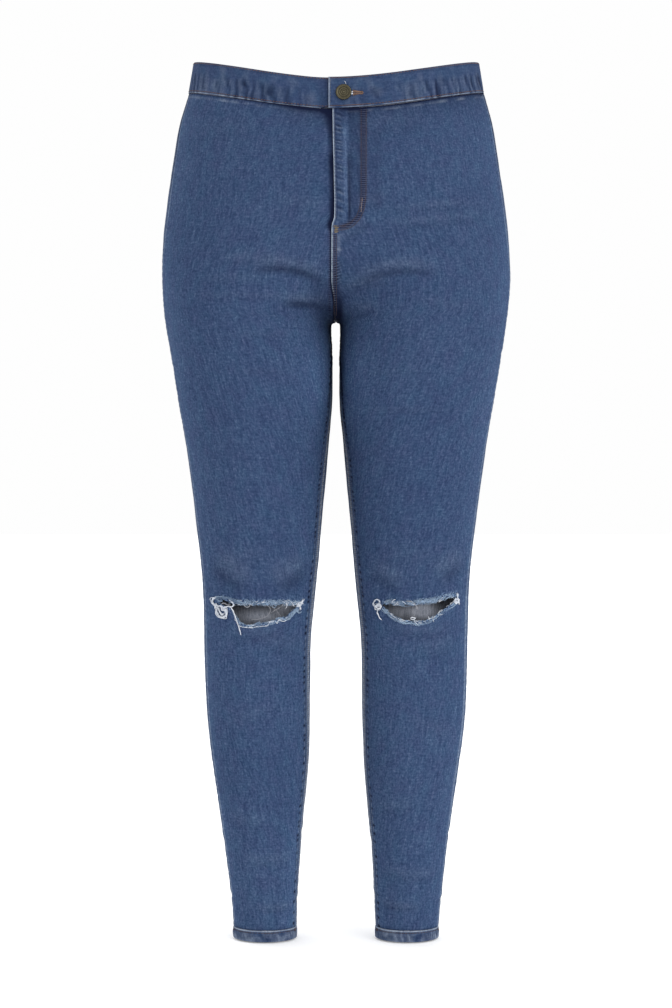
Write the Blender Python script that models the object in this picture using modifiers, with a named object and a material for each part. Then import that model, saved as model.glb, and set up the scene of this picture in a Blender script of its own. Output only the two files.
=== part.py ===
"""High-waisted skinny jeans with ripped knees, filled out as worn and empty inside.

Metres, +Z up. The front faces -Y and the wearer's left is +X. The origin is the middle of the waist,
level with the top edge at the sides. Every piece of cloth is a slab whose points are placed on one
form: two lobes, a leg each, that run together above the crotch.
"""

import math
from collections import namedtuple

import bmesh
import bpy
import numpy as np
from mathutils import Matrix, Vector

MM = 0.001

# The form at the outer face of the cloth, from the waist down, in millimetres. width is half the width
# over both legs, gap is half the space between the legs, and it counts only below the crotch. front,
# middle and back are the y of the foremost, widest and rearmost lines.
Section = namedtuple("Section", "z width gap front middle back")
SECTIONS = (
    Section(10, 161.5, 4.5, -111, 0, 111),
    Section(0, 162.0, 4.5, -112, 0, 112),
    Section(-31, 167.0, 4.5, -116, 0, 119),
    Section(-75, 178.6, 4.5, -122, 2, 131),
    Section(-109, 184.0, 4.5, -125, 3, 141),
    Section(-155, 190.8, 4.5, -127, 4, 152),
    Section(-200, 196.3, 4.5, -126, 5, 157),
    Section(-234, 197.8, 4.5, -123, 6, 154),
    Section(-268, 196.5, 4.5, -118, 6, 145),
    Section(-302, 193.0, 5.8, -112, 6, 130),
    Section(-336, 187.4, 4.0, -106, 6, 117),
    Section(-382, 179.5, 3.8, -100, 5, 107),
    Section(-427, 171.5, 7.7, -94, 4, 99),
    Section(-473, 164.7, 11.9, -88, 2, 91),
    Section(-518, 159.0, 15.9, -82, -1, 81),
    Section(-564, 153.4, 19.9, -76, -4, 71),
    Section(-609, 150.0, 24.4, -71, -5, 64),
    Section(-655, 149.2, 28.6, -66, -2, 62),
    Section(-700, 148.6, 29.5, -61, 3, 66),
    Section(-745, 145.9, 29.7, -56, 7, 70),
    Section(-791, 140.6, 31.2, -51, 9, 69),
    Section(-836, 133.6, 35.2, -46, 9, 63),
    Section(-882, 127.1, 39.8, -42, 8, 56),
    Section(-927, 121.4, 42.6, -39, 7, 51),
    Section(-973, 116.6, 44.8, -38, 5, 47),
    Section(-1000, 115.8, 45.0, -38, 4, 46),
)

# Lengths, measured down from the top edge at the side.
LENGTH = 0.992
CROTCH = 0.293
CROTCH_CURVE = 0.100  # height of the curve that the seat seam runs in, above the crotch
CROTCH_FADE = 0.005  # how far below the crotch the two lobes still pull on each other
LOBES_JOIN = 0.115  # above the crotch, where the lobes' centres have come to their places in the hips
HIP_RATIO = 0.31  # a lobe's centre there, as a share of its half width
FRONT_DIP = 0.0332  # the top edge lies this much lower at the front
FRONT_DIP_POWER = 1.4
BACK_DIP = 0.004
DIP_ENDS = 0.150  # below this the rows are level

# Seams, as angles round a leg from straight ahead.
OUTSEAM = math.radians(78)
INSEAM_TURN = math.radians(16)  # the inseam's turn to the front of the leg's inmost line
INSEAM_TURNS_OVER = 0.070
# Below the thighs both seams swing further to the front.
OUTSEAM_SWING, INSEAM_SWING = math.radians(5), math.radians(8)
SWING_STARTS, SWING_ENDS = 0.34, 0.47
SEAM_GAP = 0.0003
FRONT_SEAM_X = -0.004  # the front seam stands this far to the wearer's right
FRONT_SEAM_BLEND = 0.050
FRONT_SEAM_LOW, FRONT_SEAM_HIGH = 0.010, 0.040  # heights above the crotch between which it comes over

# Cloth.
DENIM = 0.0013
WAISTBAND_WALL = 0.0026
WAISTBAND_HEIGHT = 0.0348
HEM_WALL = 0.0028
HEM_HEIGHT = 0.013
PROUD = 0.0005  # the waistband and the hems stand out past the panels

# Fly. The wearer's left front laps over the right.
FLY_LENGTH = 0.190
FLY_FADE = 0.020
FLY_LAP = 0.010  # how far the right front runs under, past the middle
FLY_LIFT_STARTS, FLY_LIFT_ENDS = 0.014, 0.045  # either side of the middle, where the lapped fronts step apart
UNDERLAP_ENDS = 0.183
UNDERLAP_ROW = 0.005  # a row of points lies this far above where the underlap ends, and one as far below
LAP_DROP = 0.10  # the drop at which widths across the fly are measured
ZIP_LEFT, ZIP_RIGHT = 0.028, -0.014
ZIP_WALL, ZIP_STEP = 0.0012, 0.004
ZIP_CLEAR = 1.7  # in seam gaps, because the panels' flat faces cut in a little between their columns
BAND_OVERLAP, BAND_UNDERLAP = 0.0085, 0.040
BAND_LEVEL, BAND_RAMP = 0.35, 0.30  # turns from the middle over which the ends lap, then step back level

# Button, and the hole that it passes.
BUTTON_X, BUTTON_DROP = 0.0078, 0.0181
BUTTON_RADIUS, BUTTON_THICK = 0.0088, 0.0026
# The cap's crown: shares of the radius, and how far below the top.
BUTTON_CROWN = ((0, 0.0004), (0.45, 0.0003), (0.80, 0.0001), (0.93, 0), (1, 0.0009))
BUTTON_EDGE, BUTTON_UNDERSIDE = 0.0005, 0.90  # the cap's lower rounding: its height, and its inner share
SHANK_RADIUS, TACK_RADIUS, TACK_THICK = 0.0019, 0.0045, 0.0010
TACK_BEVEL = ((1, 0), (1, 0.6), (0.8, 1), (0, 1))  # shares of the tack's radius and thickness
HOLE_CLEARANCE = 0.0006
BUTTONHOLE_LENGTH, BUTTONHOLE_HEIGHT = 0.0235, 0.0014

# Knee rips: x and z of each outline's corners, in millimetres, along the upper edge and back below. Their
# cutters run from y = -0.110 to -0.010.
RIP_Y, RIP_REACH = -0.060, 0.050
RIP_LEFT = ((51, -612), (74, -613), (104, -610), (120, -606), (134, -603), (129, -609),
            (110, -620), (88, -629), (72, -627), (58, -618))
RIP_RIGHT = ((-134, -609), (-114, -611), (-88, -612), (-60, -612), (-38, -611), (-42, -618),
             (-51, -625), (-75, -629), (-101, -632), (-113, -628), (-124, -618))

FRONT_SHARES = np.linspace(0, 1, 13) ** 1.15
BACK_SHARES = np.linspace(0, 1, 14)
ROWS_BODY = (0.055, 0.085, 0.120, 0.155, 0.195, 0.225, 0.248, 0.264, 0.273, 0.284, 0.290, CROTCH)
ROWS_LEG = (0.295, 0.299, 0.306, 0.320, 0.345, 0.385, 0.430, 0.475, 0.520, 0.565, 0.595, 0.620,
            0.650, 0.700, 0.745, 0.790, 0.835, 0.880, 0.930)
BODY_RIGHT, BODY_LEFT = -1, 1

DENIM_BLUE = (0.045, 0.075, 0.155)
TURNED_BLUE = (0.055, 0.085, 0.165)
ZIP_TAPE = (0.02, 0.03, 0.07)
ANTIQUE_BRASS = (0.25, 0.20, 0.08)


# ---- the form

def column(name):
    return np.array([getattr(section, name) for section in reversed(SECTIONS)]) * MM


def smooth_column(z, name):
    """The table's column at heights z, on a cubic curve through its rows."""
    heights, values = column("z"), column(name)
    slopes = np.gradient(values, heights)
    i = np.clip(np.searchsorted(heights, z) - 1, 0, len(heights) - 2)
    span = heights[i + 1] - heights[i]
    t = np.clip((z - heights[i]) / span, 0, 1)
    start = (1 + 2 * t) * (1 - t) ** 2 * values[i] + t * (1 - t) ** 2 * span * slopes[i]
    end = t * t * (3 - 2 * t) * values[i + 1] + t * t * (t - 1) * span * slopes[i + 1]
    return start + end


def smooth_step(low, high, value):
    t = np.clip((value - low) / (high - low), 0, 1)
    return t * t * (3 - 2 * t)


def crotch_ratio():
    width, gap = (smooth_column(-CROTCH, name) for name in ("width", "gap"))
    return float((width + gap) / (width - gap))


# With this blend the lobes part exactly at the crotch.
CROTCH_BLEND = (crotch_ratio() - 1) / math.log(2)

Lobe = namedtuple("Lobe", "x y half_width front back blend neck")


def lobe(z):
    """The wearer's left lobe at heights z: its centre, its half axes, its blend with the other lobe,
    and neck, the share of its depth at which it meets the other on the middle plane."""
    width, gap, middle = (smooth_column(z, name) for name in ("width", "gap", "middle"))
    above = z > -CROTCH
    rise = np.clip((z + CROTCH) / CROTCH_CURVE, 0, 1)
    neck = np.where(above, np.sqrt(1 - (1 - rise) ** 2), 0)
    joining = crotch_ratio() + (HIP_RATIO - crotch_ratio()) * smooth_step(0, LOBES_JOIN, z + CROTCH)
    ratio = np.where(above, joining, (width + gap) / (width - gap))
    half_width = width / (1 + ratio)
    blend_above = (np.hypot(neck, ratio) - 1) / math.log(2)
    blend_below = CROTCH_BLEND * np.exp(np.minimum(z + CROTCH, 0) / CROTCH_FADE)
    blend = np.where(above, blend_above, blend_below)
    front = middle - smooth_column(z, "front")
    back = smooth_column(z, "back") - middle
    return Lobe(ratio * half_width, middle, half_width, front, back, blend, neck)


def depth_in(x, y, z):
    """Under 0 inside the form and over 0 outside it."""
    at = lobe(z)
    reach = np.where(y < at.y, at.front, at.back)
    across = (y - at.y) / reach
    near = np.hypot((np.abs(x) - at.x) / at.half_width, across)
    far = np.hypot((np.abs(x) + at.x) / at.half_width, across)
    return near - 1 - at.blend * np.log1p(np.exp(-(far - near) / at.blend))


def outward(points):
    """The form's normals, from how fast depth_in grows along each axis."""
    step = 1e-5
    slopes = []
    for axis in range(3):
        move = np.zeros(3)
        move[axis] = step
        slopes.append(depth_in(*(points + move).T) - depth_in(*(points - move).T))
    normals = np.stack(slopes, axis=1)
    return normals / np.linalg.norm(normals, axis=1, keepdims=True)


def on_form(angle, z):
    """Points on the wearer's left half, at angles round the leg from straight ahead."""
    at = lobe(z)
    reach = np.where(np.cos(angle) > 0, at.front, at.back)
    own = 1 / np.hypot(np.sin(angle) / at.half_width, np.cos(angle) / reach)
    to_middle_plane = at.x / np.maximum(-np.sin(angle), 1e-9)
    low, high = own * 0.5, np.minimum(own * (1 + 2 * at.blend), to_middle_plane)
    for _ in range(40):
        radius = (low + high) / 2
        inside = depth_in(at.x + radius * np.sin(angle), at.y - radius * np.cos(angle), z) < 0
        low, high = np.where(inside, radius, low), np.where(inside, high, radius)
    return np.stack([at.x + low * np.sin(angle), at.y - low * np.cos(angle), z], axis=1)


def swing(z):
    return smooth_step(SWING_STARTS, SWING_ENDS, -z)


def inner_angles(z):
    """The angles of the front panel's and the back panel's inner edges: the middle plane above the
    crotch, the inseam below it."""
    at = lobe(z)
    turn = INSEAM_TURN * smooth_step(0, INSEAM_TURNS_OVER, -z - CROTCH) + INSEAM_SWING * swing(z)
    above = z > -CROTCH
    front = np.where(above, -np.arctan2(at.x, at.front * at.neck), turn - math.pi / 2)
    back = np.where(above, math.pi + np.arctan2(at.x, at.back * at.neck), turn + 1.5 * math.pi)
    return front, back


def height(drop, front_share, back_share):
    """z of a row at drop below the top edge at the side. front_share runs from 0 at the side to 1 at
    the middle of the front, and back_share likewise."""
    front_dip = FRONT_DIP * np.sin(math.pi / 2 * front_share**FRONT_DIP_POWER)
    dip = front_dip + BACK_DIP * back_share**2
    return -drop - dip * (1 - smooth_step(WAISTBAND_HEIGHT, DIP_ENDS, drop))


def ring(turn, drop):
    """Points on the wearer's left half: turn is 0 at the middle of the front (or the inseam's front
    edge), 1 at the outseam and 2 at the middle of the back (or the inseam's back edge)."""
    z = -drop
    for _ in range(3):  # the angle and the height depend a little on each other
        front, back = inner_angles(z)
        seam = OUTSEAM - OUTSEAM_SWING * swing(z)
        angle = np.where(turn < 1, front + turn * (seam - front), seam + (turn - 1) * (back - seam))
        side = math.pi / 2
        front_share = np.clip((side - angle) / (side - front), 0, 1)
        back_share = np.clip((angle - side) / (back - side), 0, 1)
        z = height(drop, front_share, back_share)
    return on_form(angle, z)


def front_seam_shift(points):
    """Moves the middle of the front to the wearer's right. The form is flat across there."""
    near = 1 - smooth_step(0, FRONT_SEAM_BLEND, np.abs(points[:, 0]))
    above = smooth_step(FRONT_SEAM_LOW, FRONT_SEAM_HIGH, points[:, 2] + CROTCH)
    shift = np.where(points[:, 1] < 0, FRONT_SEAM_X * near * above, 0)
    return points + shift[:, None] * np.array([1, 0, 0])


def placed(turn, drop, lift):
    """Points at turn and drop, moved out by lift. Turns from 0 to 2 are the wearer's left half, from 2
    to 4 the right half, and past either end they run on."""
    turn = np.where(turn > 3.5, turn - 4, turn)
    mirrored = (turn < 0) | (turn > 2)
    points = ring(np.where(turn < 0, -turn, np.where(turn > 2, 4 - turn, turn)), drop)
    points = points + outward(points) * lift[:, None]
    points[mirrored, 0] *= -1
    return points


def half_placed(turn, drop, lift):
    """placed, for a panel of the left half, which stays clear of the middle plane by half a seam's gap
    unless its turn runs past it."""
    points = placed(turn, drop, lift)
    points[:, 0] = np.where(turn > 0, np.maximum(points[:, 0], SEAM_GAP / 2), points[:, 0])
    return points


# ---- tools

def collection(name):
    made = bpy.data.collections.new(name)
    bpy.context.scene.collection.children.link(made)
    return made


def material(name, colour, roughness, metallic=0.0):
    made = bpy.data.materials.new(name)
    made.use_nodes = True
    shader = made.node_tree.nodes["Principled BSDF"]
    shader.inputs["Base Color"].default_value = (*colour, 1)
    shader.inputs["Roughness"].default_value = roughness
    shader.inputs["Metallic"].default_value = metallic
    return made


def finished(bm, name, group, look):
    bmesh.ops.recalc_face_normals(bm, faces=bm.faces)
    mesh = bpy.data.meshes.new(name)
    bm.to_mesh(mesh)
    bm.free()
    mesh.materials.append(look)
    mesh.shade_smooth()
    mesh.set_sharp_from_angle(angle=math.radians(40))
    made = bpy.data.objects.new(name, mesh)
    group.objects.link(made)
    return made


def slab(name, group, look, turns, drops, place, wall, proud=0.0):
    """A slab of cloth: a grid with a column for each turn and a row for each drop, extruded, whose two
    layers go to the cloth's outer and inner faces. place gives points from turns, drops and lifts."""
    bm = bmesh.new()
    bmesh.ops.create_grid(bm, x_segments=len(turns) - 1, y_segments=len(drops) - 1, size=1)
    outer = list(bm.verts)
    layer = bmesh.ops.extrude_face_region(bm, geom=list(bm.faces), use_keep_orig=True)["geom"]
    inner = [vert for vert in layer if isinstance(vert, bmesh.types.BMVert)]
    for verts, lift in ((outer, proud), (inner, proud - wall)):
        x, y = (np.array([vert.co[axis] for vert in verts]) for axis in (0, 1))
        i = np.rint((x + 1) / 2 * (len(turns) - 1)).astype(int)
        j = np.rint((1 - y) / 2 * (len(drops) - 1)).astype(int)
        points = place(i, j, np.full(len(verts), lift))
        for vert, point in zip(verts, points):
            vert.co = point
    return finished(bm, name, group, look)


def cut(target, cutter):
    """Takes the cutter, which is drawn as a wire only, out of the target."""
    cutter.hide_render = True
    cutter.display_type = "WIRE"
    modifier = target.modifiers.new(cutter.name, "BOOLEAN")
    modifier.operation = "DIFFERENCE"
    modifier.solver = "EXACT"
    modifier.object = cutter


def prism(name, group, look, outline, along, depth):
    """An outline of (right, up) points, extruded by depth to each side of the plane that the matrix
    along sets, whose z axis is the way through."""
    bm = bmesh.new()
    face = bm.faces.new([bm.verts.new((right, up, -depth)) for right, up in outline])
    grown = bmesh.ops.extrude_face_region(bm, geom=[face])["geom"]
    moved = [item for item in grown if isinstance(item, bmesh.types.BMVert)]
    bmesh.ops.translate(bm, verts=moved, vec=(0, 0, 2 * depth))
    made = finished(bm, name, group, look)
    made.matrix_world = along
    return made


# ---- the panels

def seam_turn(drop, turn):
    """How much turn half a seam's gap is, at drop, near that turn."""
    step = 0.1
    ends = ring(np.array([turn, turn + step]), np.full(2, drop))
    return step * SEAM_GAP / 2 / np.linalg.norm(ends[1] - ends[0])


def panel_drops(*more):
    """The drops of a panel's rows, from the waistband's seam to the hem's."""
    ends = (WAISTBAND_HEIGHT + SEAM_GAP, LENGTH - HEM_HEIGHT - SEAM_GAP)
    return np.sort([*ends, *ROWS_BODY, *ROWS_LEG, *more])


def fly_share(points, drop):
    """1 where the fly laps and 0 away from it."""
    across = 1 - smooth_step(FLY_LIFT_STARTS, FLY_LIFT_ENDS, np.abs(points[:, 0]))
    down = 1 - smooth_step(FLY_LENGTH, FLY_LENGTH + FLY_FADE, drop)
    return np.where(points[:, 1] < 0, across * down, 0)


def front_panel(name, group, look, side):
    """The wearer's left (side 1) or right (side -1) front. The right one runs on under the left, down to
    where the fly ends, and each gives way to the other by half of what the lap needs."""
    drops = panel_drops(UNDERLAP_ENDS - UNDERLAP_ROW, UNDERLAP_ENDS + UNDERLAP_ROW)
    gaps = np.array([seam_turn(drop, 0.5) for drop in drops])
    half_lap = (DENIM + SEAM_GAP) / 2
    under = -x_to_turn(FLY_LAP - FRONT_SEAM_X, LAP_DROP)

    def place(i, j, lift):
        drop, gap = drops[j], gaps[j]
        turn = gap + FRONT_SHARES[i] * (1 - 2 * gap)
        if side == BODY_RIGHT:
            runs_under = drop < UNDERLAP_ENDS
            turn = np.where(runs_under & (i == 0), under, np.where(runs_under & (i == 1), 0, turn))
        points = half_placed(turn, drop, lift)
        points = points + outward(points) * (side * half_lap * fly_share(points, drop))[:, None]
        points[:, 0] *= side
        return front_seam_shift(points)

    return slab(name, group, look, FRONT_SHARES, drops, place, DENIM)


def back_panel(name, group, look, side):
    drops = panel_drops()
    gaps = np.array([seam_turn(drop, 1.5) for drop in drops])

    def place(i, j, lift):
        gap = gaps[j]
        points = half_placed(1 + gap + BACK_SHARES[i] * (1 - 2 * gap), drops[j], lift)
        points[:, 0] *= side
        return points

    return slab(name, group, look, BACK_SHARES, drops, place, DENIM)


# ---- what is sewn to them

def x_to_turn(x, drop):
    """The turn at which the front of the waistband is x to the wearer's left of the middle."""
    turns = np.linspace(0, 0.8, 81)
    found = ring(turns, np.full(81, drop))[:, 0]
    return float(np.interp(x, found, turns))


def band_turns():
    """Turns along the waistband from its over end, round the back, to its under end. The panels' own
    columns are among them, so that the edges run alike."""
    over = -x_to_turn(BAND_OVERLAP + FRONT_SEAM_X, 0)
    under = x_to_turn(BAND_UNDERLAP, 0)
    left = np.concatenate([FRONT_SHARES, 1 + BACK_SHARES[1:]])
    around = np.concatenate([left, (4 - left)[::-1][1:]])
    over_end = [over, over / 2]
    under_end = 4 + np.append(FRONT_SHARES[(FRONT_SHARES > 0) & (FRONT_SHARES < under - 0.02)], under)
    return np.concatenate([over_end, around, under_end])


def band_lift(turn):
    """How far the waistband stands out, over, or in, under, where its ends lap."""
    half_lap = (WAISTBAND_WALL + SEAM_GAP) / 2
    over = 1 - smooth_step(BAND_LEVEL, BAND_LEVEL + BAND_RAMP, turn)
    under = smooth_step(4 - BAND_LEVEL - BAND_RAMP, 4 - BAND_LEVEL, turn)
    return half_lap * (over - under)


def waistband(group, look):
    turns = band_turns()
    drops = np.linspace(0, WAISTBAND_HEIGHT, 3)

    def place(i, j, lift):
        return front_seam_shift(placed(turns[i], drops[j], lift + band_lift(turns[i])))

    return slab("waistband", group, look, turns, drops, place, WAISTBAND_WALL, PROUD)


def zip_behind_fly(group, look):
    """The closed zip, plain, behind both fronts: it lies on the inside of the right one, and steps out
    past that one's edge to the inside of the left one."""
    right = [-x_to_turn(-x, LAP_DROP) for x in (ZIP_RIGHT, ZIP_RIGHT / 2)]
    left = [x_to_turn(x, LAP_DROP) for x in (0.001, FLY_LAP + ZIP_STEP, FLY_LAP + 2 * ZIP_STEP, ZIP_LEFT)]
    turns = np.array([*right, *left])
    drops = np.linspace(WAISTBAND_HEIGHT + 2 * SEAM_GAP, UNDERLAP_ENDS - UNDERLAP_ROW, 7)
    behind = np.array([-1, -1, -1, -1, 1, 1]) * (DENIM + SEAM_GAP) / 2
    clear = DENIM + ZIP_CLEAR * SEAM_GAP

    def place(i, j, lift):
        level = placed(turns[i], drops[j], 0 * lift)
        given = behind[i] * fly_share(level, drops[j]) - clear
        return front_seam_shift(placed(turns[i], drops[j], lift + given))

    return slab("fly_zip", group, look, turns, drops, place, ZIP_WALL)


def hem(name, group, look, side):
    """A leg's turned-up hem, all round, from an open tube made solid."""
    columns = 28
    bm = bmesh.new()
    bmesh.ops.create_cone(bm, cap_ends=False, segments=columns, radius1=1, radius2=1, depth=2)
    for vert in bm.verts:
        angle = np.array([math.atan2(vert.co.x, -vert.co.y)])
        drop = LENGTH - HEM_HEIGHT * (vert.co.z + 1) / 2
        point = on_form(angle, np.array([-drop]))
        vert.co = (point + outward(point) * PROUD)[0] * np.array([side, 1, 1])
    made = finished(bm, name, group, look)
    shell = made.modifiers.new("turned up", "SOLIDIFY")
    shell.thickness = HEM_WALL
    shell.offset = -1
    return made


# ---- button

def button_seat():
    """The frame of the button: its origin on the waistband's outer face, its z axis out of it."""
    turn = np.array([x_to_turn(BUTTON_X - FRONT_SEAM_X, BUTTON_DROP)])
    drop = np.array([BUTTON_DROP])
    point = front_seam_shift(placed(turn, drop, band_lift(turn) + PROUD))[0]
    out = outward(point[None])[0]
    up = Vector((0, 0, 1))
    out = Vector(out).normalized()
    right = up.cross(out).normalized()
    turned = Matrix((right, out.cross(right), out)).transposed().to_4x4()
    return Matrix.Translation(Vector(point)) @ turned


def button(group, look):
    """Cap, shank and tack, turned as one."""
    through = 2 * WAISTBAND_WALL + SEAM_GAP
    seat, under = SEAM_GAP, -through - SEAM_GAP
    top = seat + BUTTON_THICK
    profile = (
        *((BUTTON_RADIUS * share, top - below) for share, below in BUTTON_CROWN),
        (BUTTON_RADIUS, seat + BUTTON_EDGE),
        (BUTTON_RADIUS * BUTTON_UNDERSIDE, seat),
        (SHANK_RADIUS, seat),
        (SHANK_RADIUS, under),
        *((TACK_RADIUS * share, under - TACK_THICK * below) for share, below in TACK_BEVEL),
    )
    bm = bmesh.new()
    verts = [bm.verts.new((radius, 0, up)) for radius, up in profile]
    for start, end in zip(verts, verts[1:]):
        bm.edges.new((start, end))
    mesh = bpy.data.meshes.new("button")
    bm.to_mesh(mesh)
    bm.free()
    mesh.materials.append(look)
    made = bpy.data.objects.new("button", mesh)
    group.objects.link(made)
    turned = made.modifiers.new("turned", "SCREW")
    turned.steps = turned.render_steps = 20
    turned.use_merge_vertices = True
    turned.merge_threshold = 1e-5
    made.matrix_world = button_seat()
    return made


def buttonhole_outline():
    """A slot that ends in a round eye where the shank stands."""
    eye = SHANK_RADIUS + HOLE_CLEARANCE
    half = BUTTONHOLE_HEIGHT / 2
    start = math.asin(half / eye)
    steps = 12
    angles = [start + (2 * math.pi - 2 * start) * step / steps for step in range(steps + 1)]
    arc = [(eye * math.cos(angle), eye * math.sin(angle)) for angle in angles]
    return [*arc, (BUTTONHOLE_LENGTH, -half), (BUTTONHOLE_LENGTH, half)]


def circle(radius, steps=12):
    return [(radius * math.cos(a), radius * math.sin(a)) for a in np.linspace(0, 2 * math.pi, steps + 1)[:-1]]


def cut_for_button(band, cutters, look):
    """The buttonhole goes through the over end only, and the shank's hole through the under end."""
    seat = button_seat()
    over = seat @ Matrix.Translation((0, 0, -WAISTBAND_WALL / 2))
    slot = prism("buttonhole", cutters, look, buttonhole_outline(), over, (WAISTBAND_WALL + SEAM_GAP) / 2)
    under = seat @ Matrix.Translation((0, 0, -1.5 * WAISTBAND_WALL - SEAM_GAP))
    reach = (WAISTBAND_WALL + SEAM_GAP) / 2 + HOLE_CLEARANCE
    eye = prism("shank_hole", cutters, look, circle(SHANK_RADIUS + SEAM_GAP), under, reach)
    cut(band, slot)
    cut(band, eye)


# ---- knees

def rip(panel, cutters, look, outline):
    """Cuts a knee's outline through the front of the leg."""
    facing = Matrix(((1, 0, 0, 0), (0, 0, -1, 0), (0, 1, 0, 0), (0, 0, 0, 1)))
    corners = [(x * MM, z * MM) for x, z in outline]
    ahead = Matrix.Translation((0, RIP_Y, 0)) @ facing
    cut(panel, prism(f"{panel.name}_rip", cutters, look, corners, ahead, RIP_REACH))


# ---- the garment

def build():
    for old in list(bpy.data.objects):
        bpy.data.objects.remove(old, do_unlink=True)
    jeans = collection("ripped_jeans")
    cutters = collection("cutters")
    denim = material("denim", DENIM_BLUE, 0.9)
    turned_denim = material("turned_denim", TURNED_BLUE, 0.9)
    tape = material("zip_tape", ZIP_TAPE, 0.8)
    brass = material("antique_brass", ANTIQUE_BRASS, 0.4, metallic=1.0)

    for word, side, outline in (("left", BODY_LEFT, RIP_LEFT), ("right", BODY_RIGHT, RIP_RIGHT)):
        front = front_panel(f"front_{word}", jeans, denim, side)
        rip(front, cutters, denim, outline)
        back_panel(f"back_{word}", jeans, denim, side)
        hem(f"hem_{word}", jeans, turned_denim, side)
    band = waistband(jeans, turned_denim)
    cut_for_button(band, cutters, brass)
    zip_behind_fly(jeans, tape)
    button(jeans, brass)


build()
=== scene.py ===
"""The looks of the ripped jeans: cloth shells with creases, seams, stitches and frayed knees, and a button
and zip.

Metres, +Z up. The front faces -Y and the wearer's left is +X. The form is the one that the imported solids
have: two lobes, a leg each, that run together above the crotch.
"""

import math
from collections import namedtuple

import bmesh
import bpy
import numpy as np
from mathutils import Matrix, Vector
from mathutils.bvhtree import BVHTree


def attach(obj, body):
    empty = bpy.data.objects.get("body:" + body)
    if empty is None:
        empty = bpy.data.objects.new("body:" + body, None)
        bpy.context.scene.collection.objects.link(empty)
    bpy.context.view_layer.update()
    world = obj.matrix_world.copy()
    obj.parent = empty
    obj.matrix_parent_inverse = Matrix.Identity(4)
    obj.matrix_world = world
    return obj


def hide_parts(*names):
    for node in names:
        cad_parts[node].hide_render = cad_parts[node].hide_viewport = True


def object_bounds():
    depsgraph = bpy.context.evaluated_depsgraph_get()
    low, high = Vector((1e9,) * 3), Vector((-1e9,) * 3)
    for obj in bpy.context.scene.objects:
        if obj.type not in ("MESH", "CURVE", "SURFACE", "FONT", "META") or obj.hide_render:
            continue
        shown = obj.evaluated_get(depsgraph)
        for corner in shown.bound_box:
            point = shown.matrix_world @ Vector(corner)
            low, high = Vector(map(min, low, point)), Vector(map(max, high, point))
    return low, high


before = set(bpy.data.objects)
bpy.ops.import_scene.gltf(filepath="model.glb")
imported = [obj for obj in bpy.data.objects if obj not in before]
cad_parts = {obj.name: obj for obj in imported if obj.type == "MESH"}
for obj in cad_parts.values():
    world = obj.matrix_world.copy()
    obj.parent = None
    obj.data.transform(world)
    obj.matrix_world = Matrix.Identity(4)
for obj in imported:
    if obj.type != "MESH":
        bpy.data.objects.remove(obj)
CAD_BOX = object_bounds()

MM = 0.001

# ---- the form, as the solids have it

# Millimetres. width is half the width over both legs, gap is half the space between the legs, and front,
# middle and back are the y of the foremost, widest and rearmost lines.
Section = namedtuple("Section", "z width gap front middle back")
SECTIONS = [Section(*row) for row in (
    (10, 161.5, 4.5, -111, 0, 111), (0, 162.0, 4.5, -112, 0, 112), (-31, 167.0, 4.5, -116, 0, 119),
    (-75, 178.6, 4.5, -122, 2, 131), (-109, 184.0, 4.5, -125, 3, 141), (-155, 190.8, 4.5, -127, 4, 152),
    (-200, 196.3, 4.5, -126, 5, 157), (-234, 197.8, 4.5, -123, 6, 154), (-268, 196.5, 4.5, -118, 6, 145),
    (-302, 193.0, 5.8, -112, 6, 130), (-336, 187.4, 4.0, -106, 6, 117), (-382, 179.5, 3.8, -100, 5, 107),
    (-427, 171.5, 7.7, -94, 4, 99), (-473, 164.7, 11.9, -88, 2, 91), (-518, 159.0, 15.9, -82, -1, 81),
    (-564, 153.4, 19.9, -76, -4, 71), (-609, 150.0, 24.4, -71, -5, 64), (-655, 149.2, 28.6, -66, -2, 62),
    (-700, 148.6, 29.5, -61, 3, 66), (-745, 145.9, 29.7, -56, 7, 70), (-791, 140.6, 31.2, -51, 9, 69),
    (-836, 133.6, 35.2, -46, 9, 63), (-882, 127.1, 39.8, -42, 8, 56), (-927, 121.4, 42.6, -39, 7, 51),
    (-973, 116.6, 44.8, -38, 5, 47), (-1000, 115.8, 45.0, -38, 4, 46),
)]
LENGTH = 0.992
CROTCH, CROTCH_CURVE, CROTCH_FADE = 0.293, 0.100, 0.005
LOBES_JOIN, HIP_RATIO = 0.115, 0.31
FRONT_DIP, FRONT_DIP_POWER, BACK_DIP, DIP_ENDS = 0.0332, 1.4, 0.004, 0.150
OUTSEAM = math.radians(78)
INSEAM_TURN, INSEAM_TURNS_OVER = math.radians(16), 0.070
OUTSEAM_SWING, INSEAM_SWING = math.radians(5), math.radians(8)
SWING_STARTS, SWING_ENDS = 0.34, 0.47
SEAM_GAP, SEWN_GAP = 0.0003, 0.00006
FRONT_SEAM_X, FRONT_SEAM_BLEND, FRONT_SEAM_LOW, FRONT_SEAM_HIGH = -0.004, 0.050, 0.010, 0.040
DENIM, WAISTBAND_WALL, HEM_WALL = 0.0013, 0.0026, 0.0028
WAISTBAND_HEIGHT, HEM_HEIGHT, PROUD = 0.0348, 0.013, 0.0005
FLY_LENGTH, FLY_FADE, FLY_LAP, UNDERLAP_ENDS = 0.190, 0.020, 0.010, 0.183
FLY_LIFT_STARTS, FLY_LIFT_ENDS, LAP_DROP = 0.014, 0.045, 0.10
BAND_OVERLAP, BAND_UNDERLAP, BAND_LEVEL, BAND_RAMP = 0.0085, 0.040, 0.35, 0.30
BUTTON_X, BUTTON_DROP = 0.0078, 0.0181

Z_TABLE = np.array([section.z for section in reversed(SECTIONS)]) * MM


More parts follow.
